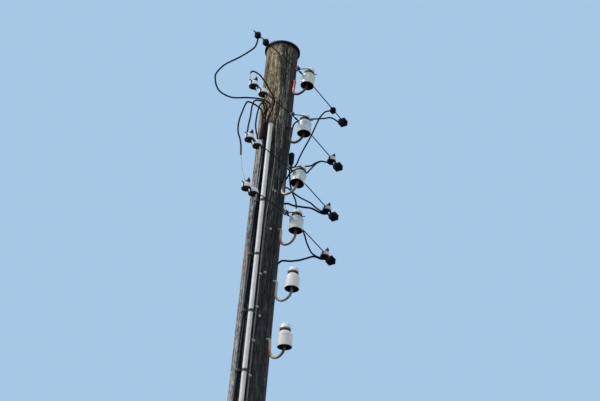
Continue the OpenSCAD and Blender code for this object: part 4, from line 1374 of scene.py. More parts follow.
ROD_LOOKS: list[tuple[float, list[tuple[float, tuple[int, int, int]]]]] = [
    # Hook 1: the pale stop at 0.195 is a painted highlight.
    (0.16, [(0.10, (138, 54, 40)), (0.145, (196, 70, 50)), (0.172, (206, 84, 60)), (0.195, (238, 170, 142)),
            (0.213, (176, 88, 70)), (0.245, (92, 46, 50)), (0.40, (58, 40, 46))]),
    (0.20, [(0.10, (78, 40, 32)), (0.19, (88, 62, 40)), (0.215, (132, 104, 52)), (0.24, (88, 66, 50)),
            (0.30, (62, 50, 42)), (0.40, (42, 36, 34))]),
    # Hook 3: the dark teal-grey stops at 0.10 and 0.19 are painted shade on the leg.
    (0.12, [(0.10, (66, 80, 80)), (0.19, (92, 104, 102)), (0.212, (176, 178, 166)), (0.25, (206, 200, 184)),
            (0.31, (150, 140, 124)), (0.37, (116, 104, 92))]),
    (0.16, [(0.10, (190, 146, 110)), (0.165, (206, 196, 172)), (0.20, (194, 124, 86)), (0.23, (160, 84, 62)),
            (0.28, (172, 162, 144)), (0.325, (150, 142, 126)), (0.345, (144, 84, 50)), (0.40, (96, 54, 34))]),
    (0.08, [(0.10, (200, 198, 184)), (0.25, (204, 200, 184)), (0.32, (150, 146, 134)), (0.40, (96, 92, 86))]),
    (0.14, [(0.10, (206, 196, 170)), (0.170, (204, 180, 150)), (0.195, (204, 108, 78)), (0.22, (188, 150, 122)),
            (0.27, (192, 182, 158)), (0.32, (98, 86, 74)), (0.40, (62, 54, 48))]),
]


@dataclass
class InsulatorRow:
    """The six bell insulators: a skirt, a wire groove and a crown."""

    skirt_d: float = 87.0
    neck_d: float = 56.0
    crown_d: float = 65.0
    height: float = 146.0
    wall: float = 8.0
    skirt_h: float = 72.0
    rim_face: float = 0.0016
    skirt_roof: float = 0.0505
    bore_r: float = 0.0095
    bore_top: float = 0.1
    rusty_bores: tuple[int, ...] = (0, 3)

    def profile(self) -> Profile:
        """Return the profile, outside first and then the petticoat and the pin's bore."""
        rs, rc, rn, gz = self.skirt_d / 2, self.crown_d / 2, self.neck_d / 2, LAYOUT.groove_z / MM
        outside = ([(rs - self.wall + 2, 0)] + arc(rs - 3, 3, 3, -90, 0, 5) + [(rs, 34)]
                   + arc(rs - 10, self.skirt_h + 3, 10, 0, 62, 8) + [(34, 89)] + arc(rn + 8, gz, 8, 225, 135, 9)
                   + arc(rc - 6, gz + 13, 7, -55, 30, 7) + arc(rc - 19, self.height - 20, 20, 36, 86, 8))
        inside = [(0, self.height), (0, 102.3), (8.3, 102.3), (8.3, 36), (14.3, 30), (14.3, 14), (17.3, 11), (20.3, 14),
                  (21.3, 44), (rs - self.wall - 7, 50), (rs - self.wall, 40)]
        return outside + inside

    def build(self) -> None:
        """Build and dress the insulators."""
        for i in range(len(LAYOUT.rims)):
            bell = SHAPES.turned(f"bell_insulator_{i + 1}", self.profile(), f"glaze_{i + 1}", 72)
            mark(bell.data, "rise", [v.co.z for v in bell.data.vertices])
            self._line_bore(bell, f"glaze_{i + 1}", "bore_rusty" if i in self.rusty_bores else "bore")
            bell.data.transform(LAYOUT.insulator(i))
            dress(bell, "", Slot.PORCELAIN, f"insulator_{i + 1}")

    def _line_bore(self, bell: Piece, glaze: str, bore: str) -> None:
        """Give the rim's bottom face and the faces under the skirt the dark finish of the bore, which is partly painted
        shade, and the rest its glaze.

        Args:
            bell: The insulator, still at its own origin.
            glaze: Name of its glaze.
            bore: Name of the finish under the skirt.
        """
        bell.data.materials.clear()
        for look in (glaze, bore):
            bell.data.materials.append(finish(look))
        rim = (self.skirt_d / 2 - self.wall + 1.9) * MM
        for face in bell.data.polygons:
            z, out = face.center.z, math.hypot(face.center.x, face.center.y)
            # Painted shade: the rim's bottom face and the hollow under the skirt take the dark bore finish.
            hidden = (out < rim and z < self.skirt_roof) or (out < self.bore_r and z < self.bore_top)
            face.material_index = int(z < self.rim_face or hidden)


@dataclass
class TieWork:
    """The wires that bind a conductor into a neck: turns in the groove, a tail, a leg and coils on the conductor."""

    tie_r: float = 0.0019
    band_r: float = 0.0025
    ring_r: float = 0.0303
    ring_h: float = 0.0044
    ring_turns: float = 2.1
    tail: float = 0.020
    tail_turn: float = 35.0
    crown_r: float = 0.0325
    binding_x: float = 0.012
    binding_l: float = 0.026
    grip: float = 0.001
    loose_ends: Row = (0.012, 0.026, 0.016, 0.032)
    coil_starts: tuple[tuple[Side, float], ...] = ((Side.LEFT, 0.036), (Side.RIGHT, 0.030))

    def build(self) -> None:
        """Build and dress the ties."""
        for i in range(len(LAYOUT.rims)):
            place = LAYOUT.insulator(i) @ Matrix.Translation((0, 0, LAYOUT.groove_z - self.ring_h / 2))
            thick = self.tie_r if i == 0 else self.band_r
            name = f"tie_work_{i + 1}"
            parts = [SHAPES.winding(name, self.ring_turns, self.ring_r, self.ring_h, thick, "tie", place)]
            if i < len(LAYOUT.bindings):
                parts += [self._tail(i)] + self._leg(i) + self._coils(i)
            dress(join(name, parts), "tie_green" if i == 0 else "tie", Slot.TIE, f"tie_{i + 1}")

    def _tail(self, index: int) -> Piece:
        """Return the twisted tail that stands out of the groove."""
        start = outward(self.tail_turn) * self.ring_r
        end = start + outward(self.tail_turn) * self.tail + Vector((0, 0, 0.004))
        path = np.array([tuple(start.lerp(end, t)) for t in np.linspace(0, 1, 12)])
        tail = SHAPES.strands(f"tail_{index}", path, 0.0016, 0.0016, 3, 90, 0.002, 0.0008, "tie")
        tail.data.transform(LAYOUT.insulator(index) @ Matrix.Translation((0, 0, LAYOUT.groove_z)))
        return tail

    def _leg(self, index: int) -> list[Piece]:
        """Return the twisted leg that runs back to the binding clamp, and the two free ends beyond it.

        Args:
            index: Line, counted from the top.

        Returns:
            The leg and its ends.
        """
        place, line = LAYOUT.insulator(index), LAYOUT.on_line(Side.LEFT, index, 0)
        clamp, half = LAYOUT.bindings[index], self.binding_l / 2 - self.grip
        first = place @ Vector((self.ring_r, 0, LAYOUT.groove_z))
        bend = place @ Vector((self.ring_r - 0.002, -self.crown_r - 0.009, LAYOUT.groove_z))
        end = line @ Vector((self.binding_x, half - clamp, 0.002))
        path = smooth_path([p / MM for p in (first, first.lerp(bend, 0.6), bend, bend.lerp(end, 0.3), end)], 6)
        low, high = Vector((0, -half - clamp, 0.003)), self.loose_ends[index]
        ends = []
        for x, lean in ((self.binding_x, 0.005), (0.006, -0.004)):
            run = [low + Vector(p) for p in ((x, 0, 0), (x, -0.006, 0.003), (x + lean, -0.012, high))]
            ends.append(smooth_path(placed(line, run) / MM, 5))
        return [SHAPES.strands(f"leg_{index}", path, 0.0017, 0.0019, 3, 45, 0.002, 0.0009, "tie"),
                SHAPES.sheath(f"ends_{index}", ends, self.tie_r, "tie", 10)]

    def _coils(self, index: int) -> list[Piece]:
        """Return the wire coils on the conductor at both sides of the neck."""
        coils = []
        for side, start in self.coil_starts:
            place = LAYOUT.on_line(side, index, start) @ spun(-90 * side.value, "X")
            coils.append(SHAPES.winding(f"coil_{index}_{side.name}", 6, 0.0050, 0.023, 0.0014, "tie", place))
        return coils


# --------------- line and clamps


@dataclass
class ClampLine:
    """Short lengths of conductor with their clamps."""

    left_a: Row = (0.518, 0.500, 0.484, 0.466)
    left_b: Row = (0.432, 0.403, 0.404, 0.396)
    right_a: Row = (0.362, 0.392, 0.377, 0.393)
    right_b: Row = (0.492, 0.472, 0.461, 0.460)
    hooded: tuple[int, ...] = (1, 2, 3)
    end: float = 0.045
    conductor_r: float = 0.0035
    hood_r: float = 0.030
    hood_top: float = 0.009
    hood_h: float = 0.040
    hood_wall: float = 0.003
    hood_band: float = 0.014
    hood_step: float = 0.0025
    dome_r: float = 0.012
    core_w: float = 0.030
    core_screw: float = -0.013
    binding_half: float = 0.013
    wire_gap: float = 0.006
    large_tap: tuple[float, float, float] = (0.046, 0.044, 0.038)
    small_tap: tuple[float, float, float] = (0.028, 0.028, 0.034)
    tap_top: float = 0.009
    large_studs: Pairs = ((-0.3, -0.25),)
    small_studs: Pairs = ((0.0, 0.1), (-0.35, -0.3), (0.35, 0.3))
    arm_end: float = 0.020
    arm_nut: Pairs = (
        (0, 21), (8.2, 21), (9.2, 23), (9.2, 44), (7.4, 47.5), (4.4, 50), (3.4, 57.5), (0, 58))
    arm_stub: tuple[tuple[float, float, float], ...] = (
        (0, 0.010, -0.018), (0.001, 0.018, -0.034), (0.002, 0.024, -0.047))
    # Painted light of each dome: less on the lower left hoods, and least on the right-hand hoods, which are in shade.
    dome_light_levels: Row = (1.0, 1.0, 0.95, 0.95, 0.9, 0.9, 0.75, 0.55, 0.7)

    def build(self, hexagon: Piece, screw: Piece) -> None:
        """Build and dress the conductors and everything clamped on them.

        Args:
            hexagon: The hexagon head that is repeated.
            screw: The screw head that is repeated.
        """
        for i in range(len(LAYOUT.bindings)):
            self._conductor(i)
        dress_node("binding_blocks", "binding_clamps", 0.0012, "alloy", Slot.ALLOY)
        self._binding_screws(screw)
        self._hoods()
        dress_node("clamp_blocks", "clamp_cores", 0.0010, "core", Slot.CORE)
        self._core_screws(hexagon)
        dress_node("clamp_screws", "clamp_bolts", 0.0006, "bolt", Slot.BOLT)
        self._arm_nuts()
        dress_node("ribbed_connectors", "tap_connectors", 0.0012, "connector", Slot.CONNECTOR)
        dress_node("connector_bolts", "tap_bolts", 0.0006, "bolt", Slot.BOLT)
        self._connector_ribs()

    def _conductor(self, index: int) -> None:
        """Build one stranded conductor through its neck."""
        left = LAYOUT.on_line(Side.LEFT, index, self.left_a[index] + self.end).translation
        right = LAYOUT.on_line(Side.RIGHT, index, self.right_b[index] + self.end).translation
        neck = LAYOUT.wire_start(index)
        path = ([left.lerp(neck, t) for t in np.linspace(0, 0.985, 12)] + [neck]
                + [neck.lerp(right, t) for t in np.linspace(0.015, 1, 12)])
        third = self.conductor_r / 3
        wire = SHAPES.strands(f"stranded_conductor_{index + 1}", np.array([tuple(p) for p in path]), third,
                              2 * third, 6, 11, 0.008, third, "line")
        dress(wire, "line", Slot.LINE, f"conductor_{index + 1}")

    @staticmethod
    def _spread(side: Side, lines: Iterable[int], *alongs: Row) -> list[Matrix]:
        """Return places on some lines of one side, at each line's distances from its neck."""
        return [LAYOUT.on_line(side, i, along[i]) for i in lines for along in alongs]

    def hood_places(self) -> list[Matrix]:
        """Return the places of the hooded clamps."""
        left = self._spread(Side.LEFT, self.hooded, self.left_a, self.left_b)
        return left + self._spread(Side.RIGHT, self.hooded, self.right_a)

    def arm_places(self) -> list[Matrix]:
        """Return the places of the clamps whose bolts have a bent arm."""
        return self._spread(Side.LEFT, self.hooded, self.left_a) + self._spread(Side.RIGHT, self.hooded, self.right_a)

    def tap_places(self) -> list[tuple[Matrix, tuple[float, float, float]]]:
        """Return the places of the ribbed connectors, each with its width, length and height."""
        small = self._spread(Side.LEFT, [0], self.left_a, self.left_b) + self._spread(Side.RIGHT, [0], self.right_a)
        large = self._spread(Side.RIGHT, range(len(self.right_b)), self.right_b)
        return [(place, self.small_tap) for place in small] + [(place, self.large_tap) for place in large]

    def _hoods(self) -> None:
        """Build the hoods: a pale dome on a darker band, dark inside as painted shade, each dome with its own level of
        painted light.

        The hoods are one CAD node, so each point is given to the clamp that it is nearest to.
        """
        hoods = softened_node("domed_hoods", "clamp_hoods", 0.0005)
        points = np.array([tuple(v.co) for v in hoods.data.vertices])
        places = self.hood_places()
        far = np.stack([np.linalg.norm(points - np.array(place.translation), axis=1) for place in places])
        nearest = far.argmin(axis=0)
        rise, inside, dome_light_of = (np.zeros(len(points), np.float32) for _ in range(3))
        for k, place in enumerate(places):
            mine = nearest == k
            turn = np.array(place.inverted())
            own = points[mine] @ turn[:3, :3].T + turn[:3, 3]
            rise[mine] = own[:, 2]
            inside[mine] = self._inside(np.hypot(own[:, 0], own[:, 1]), own[:, 2])
            dome_light_of[mine] = self.dome_light_levels[k]
        for name, values in (("rise", rise), ("inside", inside), ("paleness", dome_light_of)):
            mark(hoods.data, name, values)
        dress(hoods, "hood", Slot.HOOD, "clamp_hoods")

    def _inside(self, out: np.ndarray, rise: np.ndarray) -> np.ndarray:
        """Return 1 where a point of a hood is on its inner wall, else 0.

        Args:
            out: Distance of each point from the hood's axis.
            rise: Height of each point above the conductor.

        Returns:
            The mask.
        """
        half = self.hood_wall / 2
        step = self.hood_top - self.hood_h + self.hood_band
        shoulder = self.hood_r - self.hood_step - self.dome_r
        wall = np.where(rise < step, self.hood_r - half, self.hood_r - self.hood_step - half)
        crown = self.hood_top - 0.001 - self.dome_r
        dome = np.hypot(np.maximum(out - shoulder, 0), rise - crown) < self.dome_r - half
        return np.where(rise > crown, dome, out < wall).astype(np.float32)

    def _arm_nuts(self) -> None:
        """Build the sleeve nut of each bent arm and the bolt end under its hood."""
        parts = []
        for k, place in enumerate(self.arm_places()):
            end = place @ Matrix.Translation((0, self.arm_end, 0))
            parts.append(SHAPES.turned(f"nut_{k}", self.arm_nut, "bolt", 12, end))
            parts.append(SHAPES.sheath(f"stub_{k}", [placed(place, self.arm_stub)], 0.0036, "bolt", 8))
        dress(join("arm_nuts", parts), "bolt", Slot.BOLT)

    def _binding_screws(self, template: Piece) -> None:
        """Place bright heads on the top, the bottom and the outer end of each binding clamp."""
        spots = []
        for index, along in [*enumerate(LAYOUT.bindings), (0, LAYOUT.extra_binding)]:
            place = LAYOUT.on_line(Side.LEFT, index, along)
            up, outer = toward(place, (0, 0, 1)), toward(place, (0, -1, 0))
            spots += [(place @ Vector((0.0065, y, z)), up * z) for y in (-0.007, 0.007) for z in (-0.010, 0.010)]
            ends = ((0.006, 0.0052), (0.006, -0.0052), (0.016, 0.0))
            spots += [(place @ Vector((x, -self.binding_half, z)), outer) for x, z in ends]
        dress(SHAPES.heads("binding_screws", spots, template, "stud", 5), "stud", Slot.BOLT)

    def _core_screws(self, template: Piece) -> None:
        """Place a hexagon head on each side of each clamp block."""
        half = self.core_w / 2
        spots = [(place @ Vector((way * half, 0, self.core_screw)), toward(place, (way, 0, 0)))
                 for place in self.hood_places() for way in (-1, 1)]
        dress(SHAPES.heads("block_heads", spots, template, "core", 7), "core", Slot.BOLT)

    def _connector_ribs(self) -> None:
        """Build the raised ribs round each connector and across its top and bottom, and its bolt studs."""
        ribs: dict[bool, list[Path]] = {True: [], False: []}
        studs: dict[bool, list[Path]] = {True: [], False: []}
        for place, (w, l, h) in self.tap_places():
            large, x, y = w == self.large_tap[0], w / 2, l / 2
            low, high = self.tap_top - h, self.tap_top
            runs = []
            for z in np.linspace(low + 0.004, high - 0.004, 5 if large else 4):
                for way in (-1, 1):
                    runs.append([(way * x, -y, z), (way * x, y, z)])
                    if abs(z) > self.wire_gap:
                        runs.append([(-x, way * y, z), (x, way * y, z)])
            for across in np.linspace(-x + 0.005, x - 0.005, 4 if large else 3):
                runs += [[(across, -y, z), (across, y, z)] for z in (low, high)]
            ribs[large] += [placed(place, run) for run in runs]
            for a, b in self.large_studs if large else self.small_studs:
                studs[large].append(placed(place, [(a * w, b * l, high - 0.002), (a * w, b * l, high + 0.012)]))
        parts = [SHAPES.sheath(name, paths, radius, "connector", 8) for name, paths, radius in (
            ("large_ribs", ribs[True], 0.0019), ("small_ribs", ribs[False], 0.0014),
            ("large_studs", studs[True], 0.0052), ("small_studs", studs[False], 0.0026))]
        dress(join("connector_ribs", parts), "connector", Slot.CONNECTOR)


# --------------- tap cables


@dataclass
class TapCables:
    """Insulated tap cables between the clamps and the riser, each held at both ends."""

    thin_r: float = 0.0051
    main_r: float = 0.0062
    bare_r: float = 0.002

    def build(self) -> None:
        """Build and dress the cables of both sides."""
        for side, thin, main in ((Side.LEFT, "abedc", ""), (Side.RIGHT, "ghifjkm", "ln")):
            parts = [self._sheathed(f"thin_{side.name}", thin, self.thin_r, "cable", 12)]
            if main:
                parts.append(self._sheathed(f"main_{side.name}", main, self.main_r, "cable", 14))
            name = side.name.lower()
            dress(join(f"insulated_taps_{name}", parts), "cable", Slot.CABLE, f"tap_cables_{name}")
        dress(self._sheathed("bare_tap_ends", ("b_bare", "d_bare"), self.bare_r, "bare", 10), "bare", Slot.LINE)

    @staticmethod
    def _sheathed(name: str, routes: Iterable[str], radius: float, look: str, sides: int) -> Piece:
        """Return round cables along named routes."""
        return SHAPES.sheath(name, [from_top(ROUTES[k]) for k in routes], radius, look, sides)


ROUTES: dict[str, list[tuple[float, float, float]]] = {
    "a": [(227, -516, -352), (228, -515, -372), (216, -508, -394), (188, -502, -416), (115, -530, -470),
        (30, -570, -525), (-20, -580, -575), (-35, -570, -605), (-40, -540, -650), (-25, -505, -680), (20, -455, -700),
        (100, -405, -700), (158, -362, -702), (155, -290, -670), (140, -230, -655), (85, -190, -642), (50, -150, -615),
        (18, -122, -620), (10, -117, -650), (10, -117, -695)],
    "b_bare": [(225, -537, -700), (219, -532, -672), (206, -520, -638), (192, -506, -610)],
    "b": [(195, -508, -618), (188, -480, -580), (185, -415, -560), (170, -360, -550), (155, -305, -545),
        (130, -240, -540), (105, -165, -532), (75, -118, -540), (54, -112, -590), (34, -113, -640), (28, -117, -695)],
    "e": [(222, -505, -1072), (212, -492, -1040), (198, -476, -1000), (185, -458, -960), (170, -435, -890),
        (155, -415, -805), (147, -390, -735), (145, -345, -700), (140, -290, -675), (118, -235, -670),
        (75, -200, -670), (40, -168, -640), (15, -145, -640), (10, -134, -695)],
    "c": [(221, -403, -1072), (214, -404, -1036), (196, -398, -988), (160, -368, -909), (105, -305, -786),
        (71, -259, -687), (48, -220, -610), (34, -184, -568), (25, -151, -574), (22, -132, -616), (20, -126, -659),
        (19, -124, -695)],
    "d_bare": [(222, -468, -1412), (210, -474, -1378), (190, -475, -1315), (175, -475, -1255), (163, -475, -1185)],
    "d": [(165, -475, -1200), (155, -472, -1130), (143, -475, -1075), (125, -480, -1015), (118, -475, -935),
        (120, -455, -840), (115, -425, -760), (110, -395, -730), (112, -335, -715), (105, -270, -705),
        (70, -215, -695), (45, -165, -675), (32, -140, -660), (28, -134, -695)],
    "g": [(182, 350, -337), (172, 324, -349), (158, 300, -372), (146, 275, -422), (140, 255, -480), (130, 225, -585),
        (122, 200, -660), (115, 170, -740), (108, 145, -815), (106, 128, -870), (103, 108, -910), (97, 92, -918),
        (97, 90, -895)],
    "h": [(176, 476, -352), (168, 446, -358), (157, 404, -355), (149, 373, -363), (143, 334, -392), (128, 249, -447),
        (116, 170, -500), (105, 110, -545), (90, 78, -590), (65, 95, -650), (30, 122, -780), (-2, 131, -860),
        (-4, 131, -910)],
    "i": [(180, 390, -710), (176, 377, -734), (162, 352, -742), (148, 318, -752), (135, 280, -785), (125, 245, -825),
        (115, 190, -860), (103, 140, -902), (75, 105, -950), (40, 120, -970), (0, 130, -985)],
    "f": [(148, 318, -752), (150, 270, -800), (170, 200, -885), (200, 120, -980), (210, 65, -1040), (204, 42, -1067)],
    "j": [(88, 76, -895), (89, 77, -928), (94, 76, -965), (103, 74, -1015), (120, 62, -1075), (145, 52, -1135),
        (163, 46, -1175), (191, 40, -1232), (208, 34, -1294), (210, 30, -1340), (204, 28, -1390)],
    "k": [(188, 378, -1104), (183, 366, -1131), (164, 342, -1130), (140, 310, -1112), (125, 270, -1095),
        (95, 200, -1085), (80, 145, -1075), (68, 112, -1060), (40, 120, -1040), (0, 130, -1025)],
    "l": [(174, 384, -1104), (170, 374, -1134), (148, 345, -1132), (125, 290, -1126), (105, 240, -1140),
        (90, 200, -1152), (75, 165, -1160), (62, 130, -1162), (35, 122, -1160), (0, 130, -1155)],
    "m": [(187, 394, -1430), (180, 380, -1456), (160, 350, -1464), (150, 300, -1462), (163, 250, -1457),
        (182, 195, -1447), (207, 140, -1437), (224, 90, -1428), (222, 55, -1410), (203, 38, -1391)],
    "n": [(173, 400, -1430), (166, 388, -1460), (148, 362, -1458), (136, 330, -1464), (118, 280, -1500),
        (102, 235, -1532), (85, 175, -1565), (75, 140, -1578), (62, 118, -1588), (35, 122, -1595), (0, 130, -1600)],
}


# --------------- riser


@dataclass
class Riser:
    """Conduit, cable bundles, boots, straps and the thin clipped cable."""

    conduit_a: float = -63.0
    bundle_a: float = -81.5
    rear_a: float = 92.0
    thin_a: float = -49.0
    conduit_r: float = 0.014
    conduit_top: float = 6.910
    cap_l: float = 0.040
    bundle_r: float = 0.015
    bundle_top: float = 6.850
    rear_top: float = 6.700
    sheen_side: float = -112.0
    fullness: float = 0.28
    sheen_low: float = 6.24
    sheen_high: float = 6.80
    thin_r: float = 0.004
    strap_top: float = 6.325
    strap_pitch: float = 0.385
    strap_low: float = 0.15
    strap_ear: float = 13.0
    conduit_ear: float = 9.2
    bend_steps: int = 10
    thin_bend: float = 6.150
    thin_turns: Pairs = (
        (0, 6.150), (3, 6.300), (6, 6.420), (9, 6.560), (9, 6.700), (6, 6.820), (4, 6.910), (5, 6.950),
        (9, 6.980), (15, 6.990), (21, 6.978), (25, 6.945), (26, 6.900), (26, 6.820), (26, 6.740))

    def build(self, screw: Piece) -> None:
        """Build and dress the riser.

        Args:
            screw: The screw head that is repeated.
        """
        low = LAYOUT.riser_foot
        pipe = self._straight(self.conduit_a, self.conduit_r + SEAT, low, self.conduit_top - self.cap_l / 2, 24)
        dress(SHAPES.sheath("pale_conduit", [pipe], self.conduit_r, "conduit", 32), "conduit", Slot.CONDUIT, "conduit")
        self._conduit_cap()
        for name, node, angle, top in (("riser_cores", "cable_bundle", self.bundle_a, self.bundle_top),
                                       ("rear_cores", "rear_bundle", self.rear_a, self.rear_top)):
            path = self._straight(angle, self.bundle_r + SEAT, low, top, 40)
            cores = SHAPES.strands(name, path, 0.0068, 0.0079, 4, 0.45, 0.05, 0.004, "cable")
            self._sheen(cores)
            dress(cores, "cable", Slot.CABLE, node)
        dress_node("bundle_sleeve", "bundle_boot", 0.001, "boot", Slot.BOOT)
        side = softened_node("side_sleeve", "side_boot", 0.001)
        self._swell(side)
        dress(side, "boot_green", Slot.BOOT, "side_boot")
        dress_node("strap_bands", "riser_straps", 0.0004, "strap", Slot.STRAP)
        dress_node("rear_bands", "rear_straps", 0.0004, "strap", Slot.STRAP)
        self._screws(screw)
        self._thin_cable()
        dress_node("cable_saddles", "cable_clips", 0.0004, "clip", Slot.CLIP)

    def _swell(self, sleeve: Piece) -> None:
        """Make the upper part of a sleeve fuller, as cables push it out."""
        points = np.array([tuple(v.co) for v in sleeve.data.vertices])
        low, high = points.min(axis=0), points.max(axis=0)
        middle = ((low + high) / 2)[:2]
        rise = np.clip(1.1 * (points[:, 2:] - low[2]) / (high[2] - low[2]) - 0.1, 0, 1)
        points[:, :2] = middle + (points[:, :2] - middle) * (1 + self.fullness * np.sin(np.pi * rise))
        sleeve.data.vertices.foreach_set("co", points.ravel())
        sleeve.data.update()

    def _sheen(self, cores: Piece) -> None:
        """Mark where the sheath gets a painted sheen: its sunny side, between the boot and the first strap."""
        points = np.array([(*v.normal, v.co.z) for v in cores.data.vertices])
        side = near(np.degrees(np.arctan2(points[:, 1], points[:, 0])), self.sheen_side, 30)
        z, low, high = points[:, 3], self.sheen_low, self.sheen_high
        bright = np.clip((z - low) / 0.12, 0, 1) * np.clip((high - z) / 0.05, 0, 1)
        mark(cores.data, "sheen", side * np.maximum(bright, 0.22 * np.clip((low - z) / 0.1, 0, 1)))

    def _straight(self, angle: float, off: float, low: float, high: float, spans: int) -> Path:
        """Return a straight line up the pole in equal spans, off its surface."""
        foot, top = LAYOUT.on_pole(angle, off, low), LAYOUT.on_pole(angle, off, high)
        return np.array([tuple(foot.lerp(top, t)) for t in np.linspace(0, 1, spans + 1)])

    def _conduit_cap(self) -> None:
        """Build the rounded cap on the conduit's top end."""
        low = self.conduit_top - self.cap_l / 2 + SEAT
        r, h = self.conduit_r / MM, self.cap_l / 2 / MM
        groove = [(r, 3), (r - 0.7, 3.6), (r - 0.7, 4.6), (r, 5.2)]
        profile = [(0, 0), (r, 0)] + groove + arc(r - 5, h - 5, 5, 0, 80, 5) + [(0, h)]
        taper = math.degrees(math.atan((LAYOUT.foot_r - LAYOUT.top_r) / LAYOUT.height))
        foot = Matrix.Translation(LAYOUT.on_pole(self.conduit_a, self.conduit_r + SEAT, low))
        place = foot @ spun(self.conduit_a, "Z") @ spun(-taper, "Y")
        dress(SHAPES.turned("conduit_end_cap", profile, "conduit", 32, place), "conduit", Slot.CONDUIT, "conduit_cap")

    def _screws(self, template: Piece) -> None:
        """Place a screw head on each ear of each strap."""
        count = int((self.strap_top - self.strap_low) // self.strap_pitch) + 1
        ears = (self.bundle_a - self.strap_ear, self.conduit_a + self.conduit_ear, self.rear_a - self.strap_ear,
                self.rear_a + self.strap_ear)
        spots = [on_face(angle, self.strap_top - k * self.strap_pitch, 0.0018) for k in range(count) for angle in ears]
        dress(SHAPES.heads("strap_screws", spots, template, "nail", 13), "nail", Slot.NAIL)

    def _thin_cable(self) -> None:
        """Build the thin cable, straight up the pole and over in a small arch."""
        off, low, steps = self.thin_r + SEAT, LAYOUT.riser_foot, self.bend_steps
        pitch = (self.thin_bend - low) / steps
        straight = [LAYOUT.on_pole(self.thin_a, off, low + k * pitch) for k in range(steps)]
        arch = [LAYOUT.on_pole(self.thin_a + turn, off, z) for turn, z in self.thin_turns]
        path = smooth_path([p / MM for p in straight + arch], 6)
        dress(SHAPES.sheath("thin_lead", [path], self.thin_r, "thin", 12), "thin", Slot.THIN, "thin_cable")


def on_face(angle: float, z: float, off: float) -> tuple[Vector, Vector]:
    """Return a point off the pole's surface and the direction out of the pole there."""
    return LAYOUT.on_pole(angle, off, z), outward(angle)


@dataclass
class PoleHardware:
    """Bolt heads, the high nail and its light wire, which is given in turn and height from the nail."""

    bolts: Pairs = ((-33, 5.831), (-36, 5.536), (-29, 6.138), (-27, 6.417))
    nail: tuple[float, float] = (-24, 7.324)
    wire_r: float = 0.0016
    wire: Pairs = (
        (0, 0.004), (0.5, -0.03), (2, -0.09), (3.5, -0.15), (4, -0.195), (3, -0.26))

    def build(self, hexagon: Piece, nail: Piece) -> None:
        """Build and dress the small hardware.

        Args:
            hexagon: The hexagon head that is repeated.
            nail: The nail head that is repeated.
        """
        spots = [on_face(a, z, -0.0015) for a, z in self.bolts]
        dress(SHAPES.heads("pole_bolts", spots, hexagon, "stud", 17), "stud", Slot.NAIL)
        dress(SHAPES.heads("high_nail", [on_face(*self.nail, 0.0)], nail, "nail", 19), "nail", Slot.NAIL)
        points = [LAYOUT.on_pole(self.nail[0] + turn, self.wire_r, self.nail[1] + up) / MM for turn, up in self.wire]
        light = SHAPES.sheath("light_wire", [smooth_path(points, 8)], self.wire_r, "light", 8)
        dress(light, "light", Slot.THIN)


@dataclass
class HeadTemplates:
    """The small heads that Geometry Nodes repeat. They are removed before the frame is checked.
    They are removed once they have been placed.
    """

    made: dict[str, Piece] = field(default_factory=dict)

    def build(self) -> None:
        """Build the templates."""
        nail = [(0, -1), (5.5, -1), (5.5, 0.6)] + arc(0, -8.3, 10.5, 56, 88, 5) + [(0, 2.4)]
        screw = ([(0, -0.5), (4.2, -0.5), (4.2, 0.9)] + arc(1.4, 0.4, 2.8, 20, 80, 4)
                 + [(1.2, 3.1), (1.2, 1.6), (0, 1.6)])
        self.made["nail"] = SHAPES.turned("nail_template", nail, "nail", 20)
        self.made["screw"] = SHAPES.turned("screw_template", screw, "nail", 16)
        washer = SHAPES.turned("washer_part", [(0, -0.5), (8, -0.5), (8, 1.4), (7.4, 2), (0, 2)], "bolt", 24)
        head = SHAPES.turned("hexagon_part", [(0, 1), (5.8, 1), (6.6, 1.8), (6.6, 6.2), (5.6, 7), (0, 7)], "bolt", 6)
        self.made["hexagon"] = join("hexagon_template", [washer, head])

    def clear(self) -> None:
        """Remove the templates."""
        for template in self.made.values():
            bpy.data.objects.remove(template)
        self.made.clear()


# --------------- studio


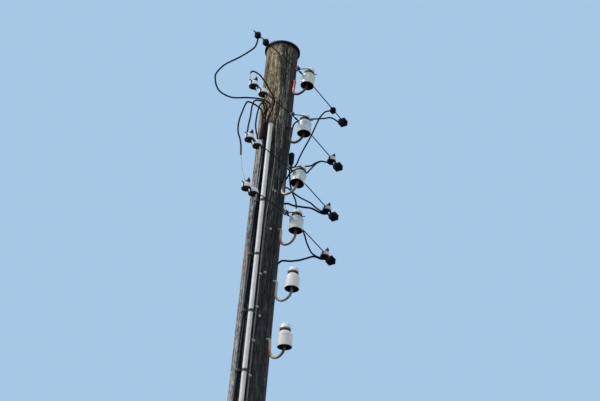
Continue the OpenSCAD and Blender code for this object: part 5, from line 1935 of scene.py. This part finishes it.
@dataclass
class Studio:
    """Floor, sky colour, sun and camera."""

    sky: Colour = tone(166, 200, 230)
    sky_light: Colour = tone(205, 220, 240)
    floor: Colour = tone(214, 214, 208)
    floor_cloud: Colour = tone(196, 196, 190)
    floor_seen: Colour = tone(150, 148, 140)
    floor_r: float = 60.0
    floor_sides: int = 64
    sun_strength: float = 2.35
    sun_colour: tuple[float, float, float] = (1.0, 0.965, 0.90)
    sun_width: float = 7.0
    fill: float = 0.80
    sun_plan: tuple[float, float] = (-0.604, -0.798)
    sun_height: float = 46.0
    eye: tuple[float, float, float] = (4.709, -5.520, 1.6)
    pitch: float = 33.65
    heading: float = 38.87
    roll: float = 5.04
    focal: float = 1406.5
    frame_width: float = 600.0

    def build(self) -> None:
        """Build the floor, the light and the camera."""
        self._floor()
        self._world()
        self._sun()
        self._camera()
        bpy.context.scene.view_settings.view_transform = "Standard"

    def _floor(self) -> None:
        """Add the plain pale floor."""
        s = Surface("pale_floor")
        seen = s.node("ShaderNodeLightPath").outputs["Is Camera Ray"]
        cloud = s.span(s.noise(s.place, 1.4, 3.0), 0.3, 0.7)
        pale = s.mix(cloud, self.floor, s.mix(0.5, self.floor, self.floor_cloud))
        s.set(Base_Color=s.mix(seen, self.floor_seen, pale), Roughness=0.9)
        turns = np.linspace(0, WHOLE_TURN, self.floor_sides + 1)[:-1]
        ring = [(self.floor_r * math.cos(a), self.floor_r * math.sin(a), 0) for a in turns]
        disc = add_object("floor", mesh_of("floor", ring, [tuple(range(self.floor_sides))]))
        disc.data.materials.append(s.material)

    def _world(self) -> None:
        """Give the world a pale sky colour to look at and a soft light."""
        world = bpy.data.worlds.new("sky")
        world.use_nodes = True
        bpy.context.scene.world = world
        g = Graph(world.node_tree)
        path = g.node("ShaderNodeLightPath")
        seen = g.math("MAXIMUM", path.outputs["Is Camera Ray"],
                      g.math("MAXIMUM", path.outputs["Is Glossy Ray"], path.outputs["Is Transmission Ray"]))
        back = world.node_tree.nodes["Background"].inputs
        g.put(g.mix(seen, self.sky_light, self.sky), back["Color"])
        g.put(g.plus(g.times(seen, 1.0 - self.fill), self.fill), back["Strength"])

    def _sun(self) -> None:
        """Add the sun, from the camera's left."""
        lamp = bpy.data.lights.new("sun", "SUN")
        lamp.energy = self.sun_strength
        lamp.angle = math.radians(self.sun_width)
        lamp.color = self.sun_colour
        sun = bpy.data.objects.new("sun", lamp)
        flat, high = math.cos(math.radians(self.sun_height)), math.sin(math.radians(self.sun_height))
        away = Vector((self.sun_plan[0] * flat, self.sun_plan[1] * flat, high))
        sun.rotation_euler = away.to_track_quat("Z", "Y").to_euler()
        bpy.context.scene.collection.objects.link(sun)

    def _camera(self) -> None:
        """Add the camera at the viewing angle of the photograph."""
        pitch, heading, roll = (math.radians(v) for v in (self.pitch, self.heading, self.roll))
        back = Vector((math.sin(heading) * math.cos(pitch), -math.cos(heading) * math.cos(pitch), -math.sin(pitch)))
        right = Vector((math.cos(heading), math.sin(heading), 0))
        up = back.cross(right)
        right, up = right * math.cos(roll) + up * math.sin(roll), up * math.cos(roll) - right * math.sin(roll)
        camera = bpy.data.objects.new("camera", bpy.data.cameras.new("camera"))
        camera.matrix_world = Matrix.Translation(self.eye) @ Matrix((right, up, back)).transposed().to_4x4()
        camera.data.sensor_fit = "HORIZONTAL"
        camera.data.lens = camera.data.sensor_width * self.focal / self.frame_width
        bpy.context.scene.collection.objects.link(camera)
        bpy.context.scene.camera = camera


def main() -> None:
    """Build the whole pole, its light and its camera."""
    logging.basicConfig(level=logging.INFO, format="%(name)s %(message)s")
    EFFECTS.build()
    SHAPES.build()
    heads = HeadTemplates()
    heads.build()
    PoleShaft().build()
    PoleCap().build(heads.made["nail"])
    HookRow().build()
    InsulatorRow().build()
    TieWork().build()
    ClampLine().build(heads.made["hexagon"], heads.made["screw"])
    TapCables().build()
    Riser().build(heads.made["screw"])
    PoleHardware().build(heads.made["hexagon"], heads.made["nail"])
    heads.clear()
    Studio().build()
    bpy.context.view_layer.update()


if __name__ == "__main__":
    main()
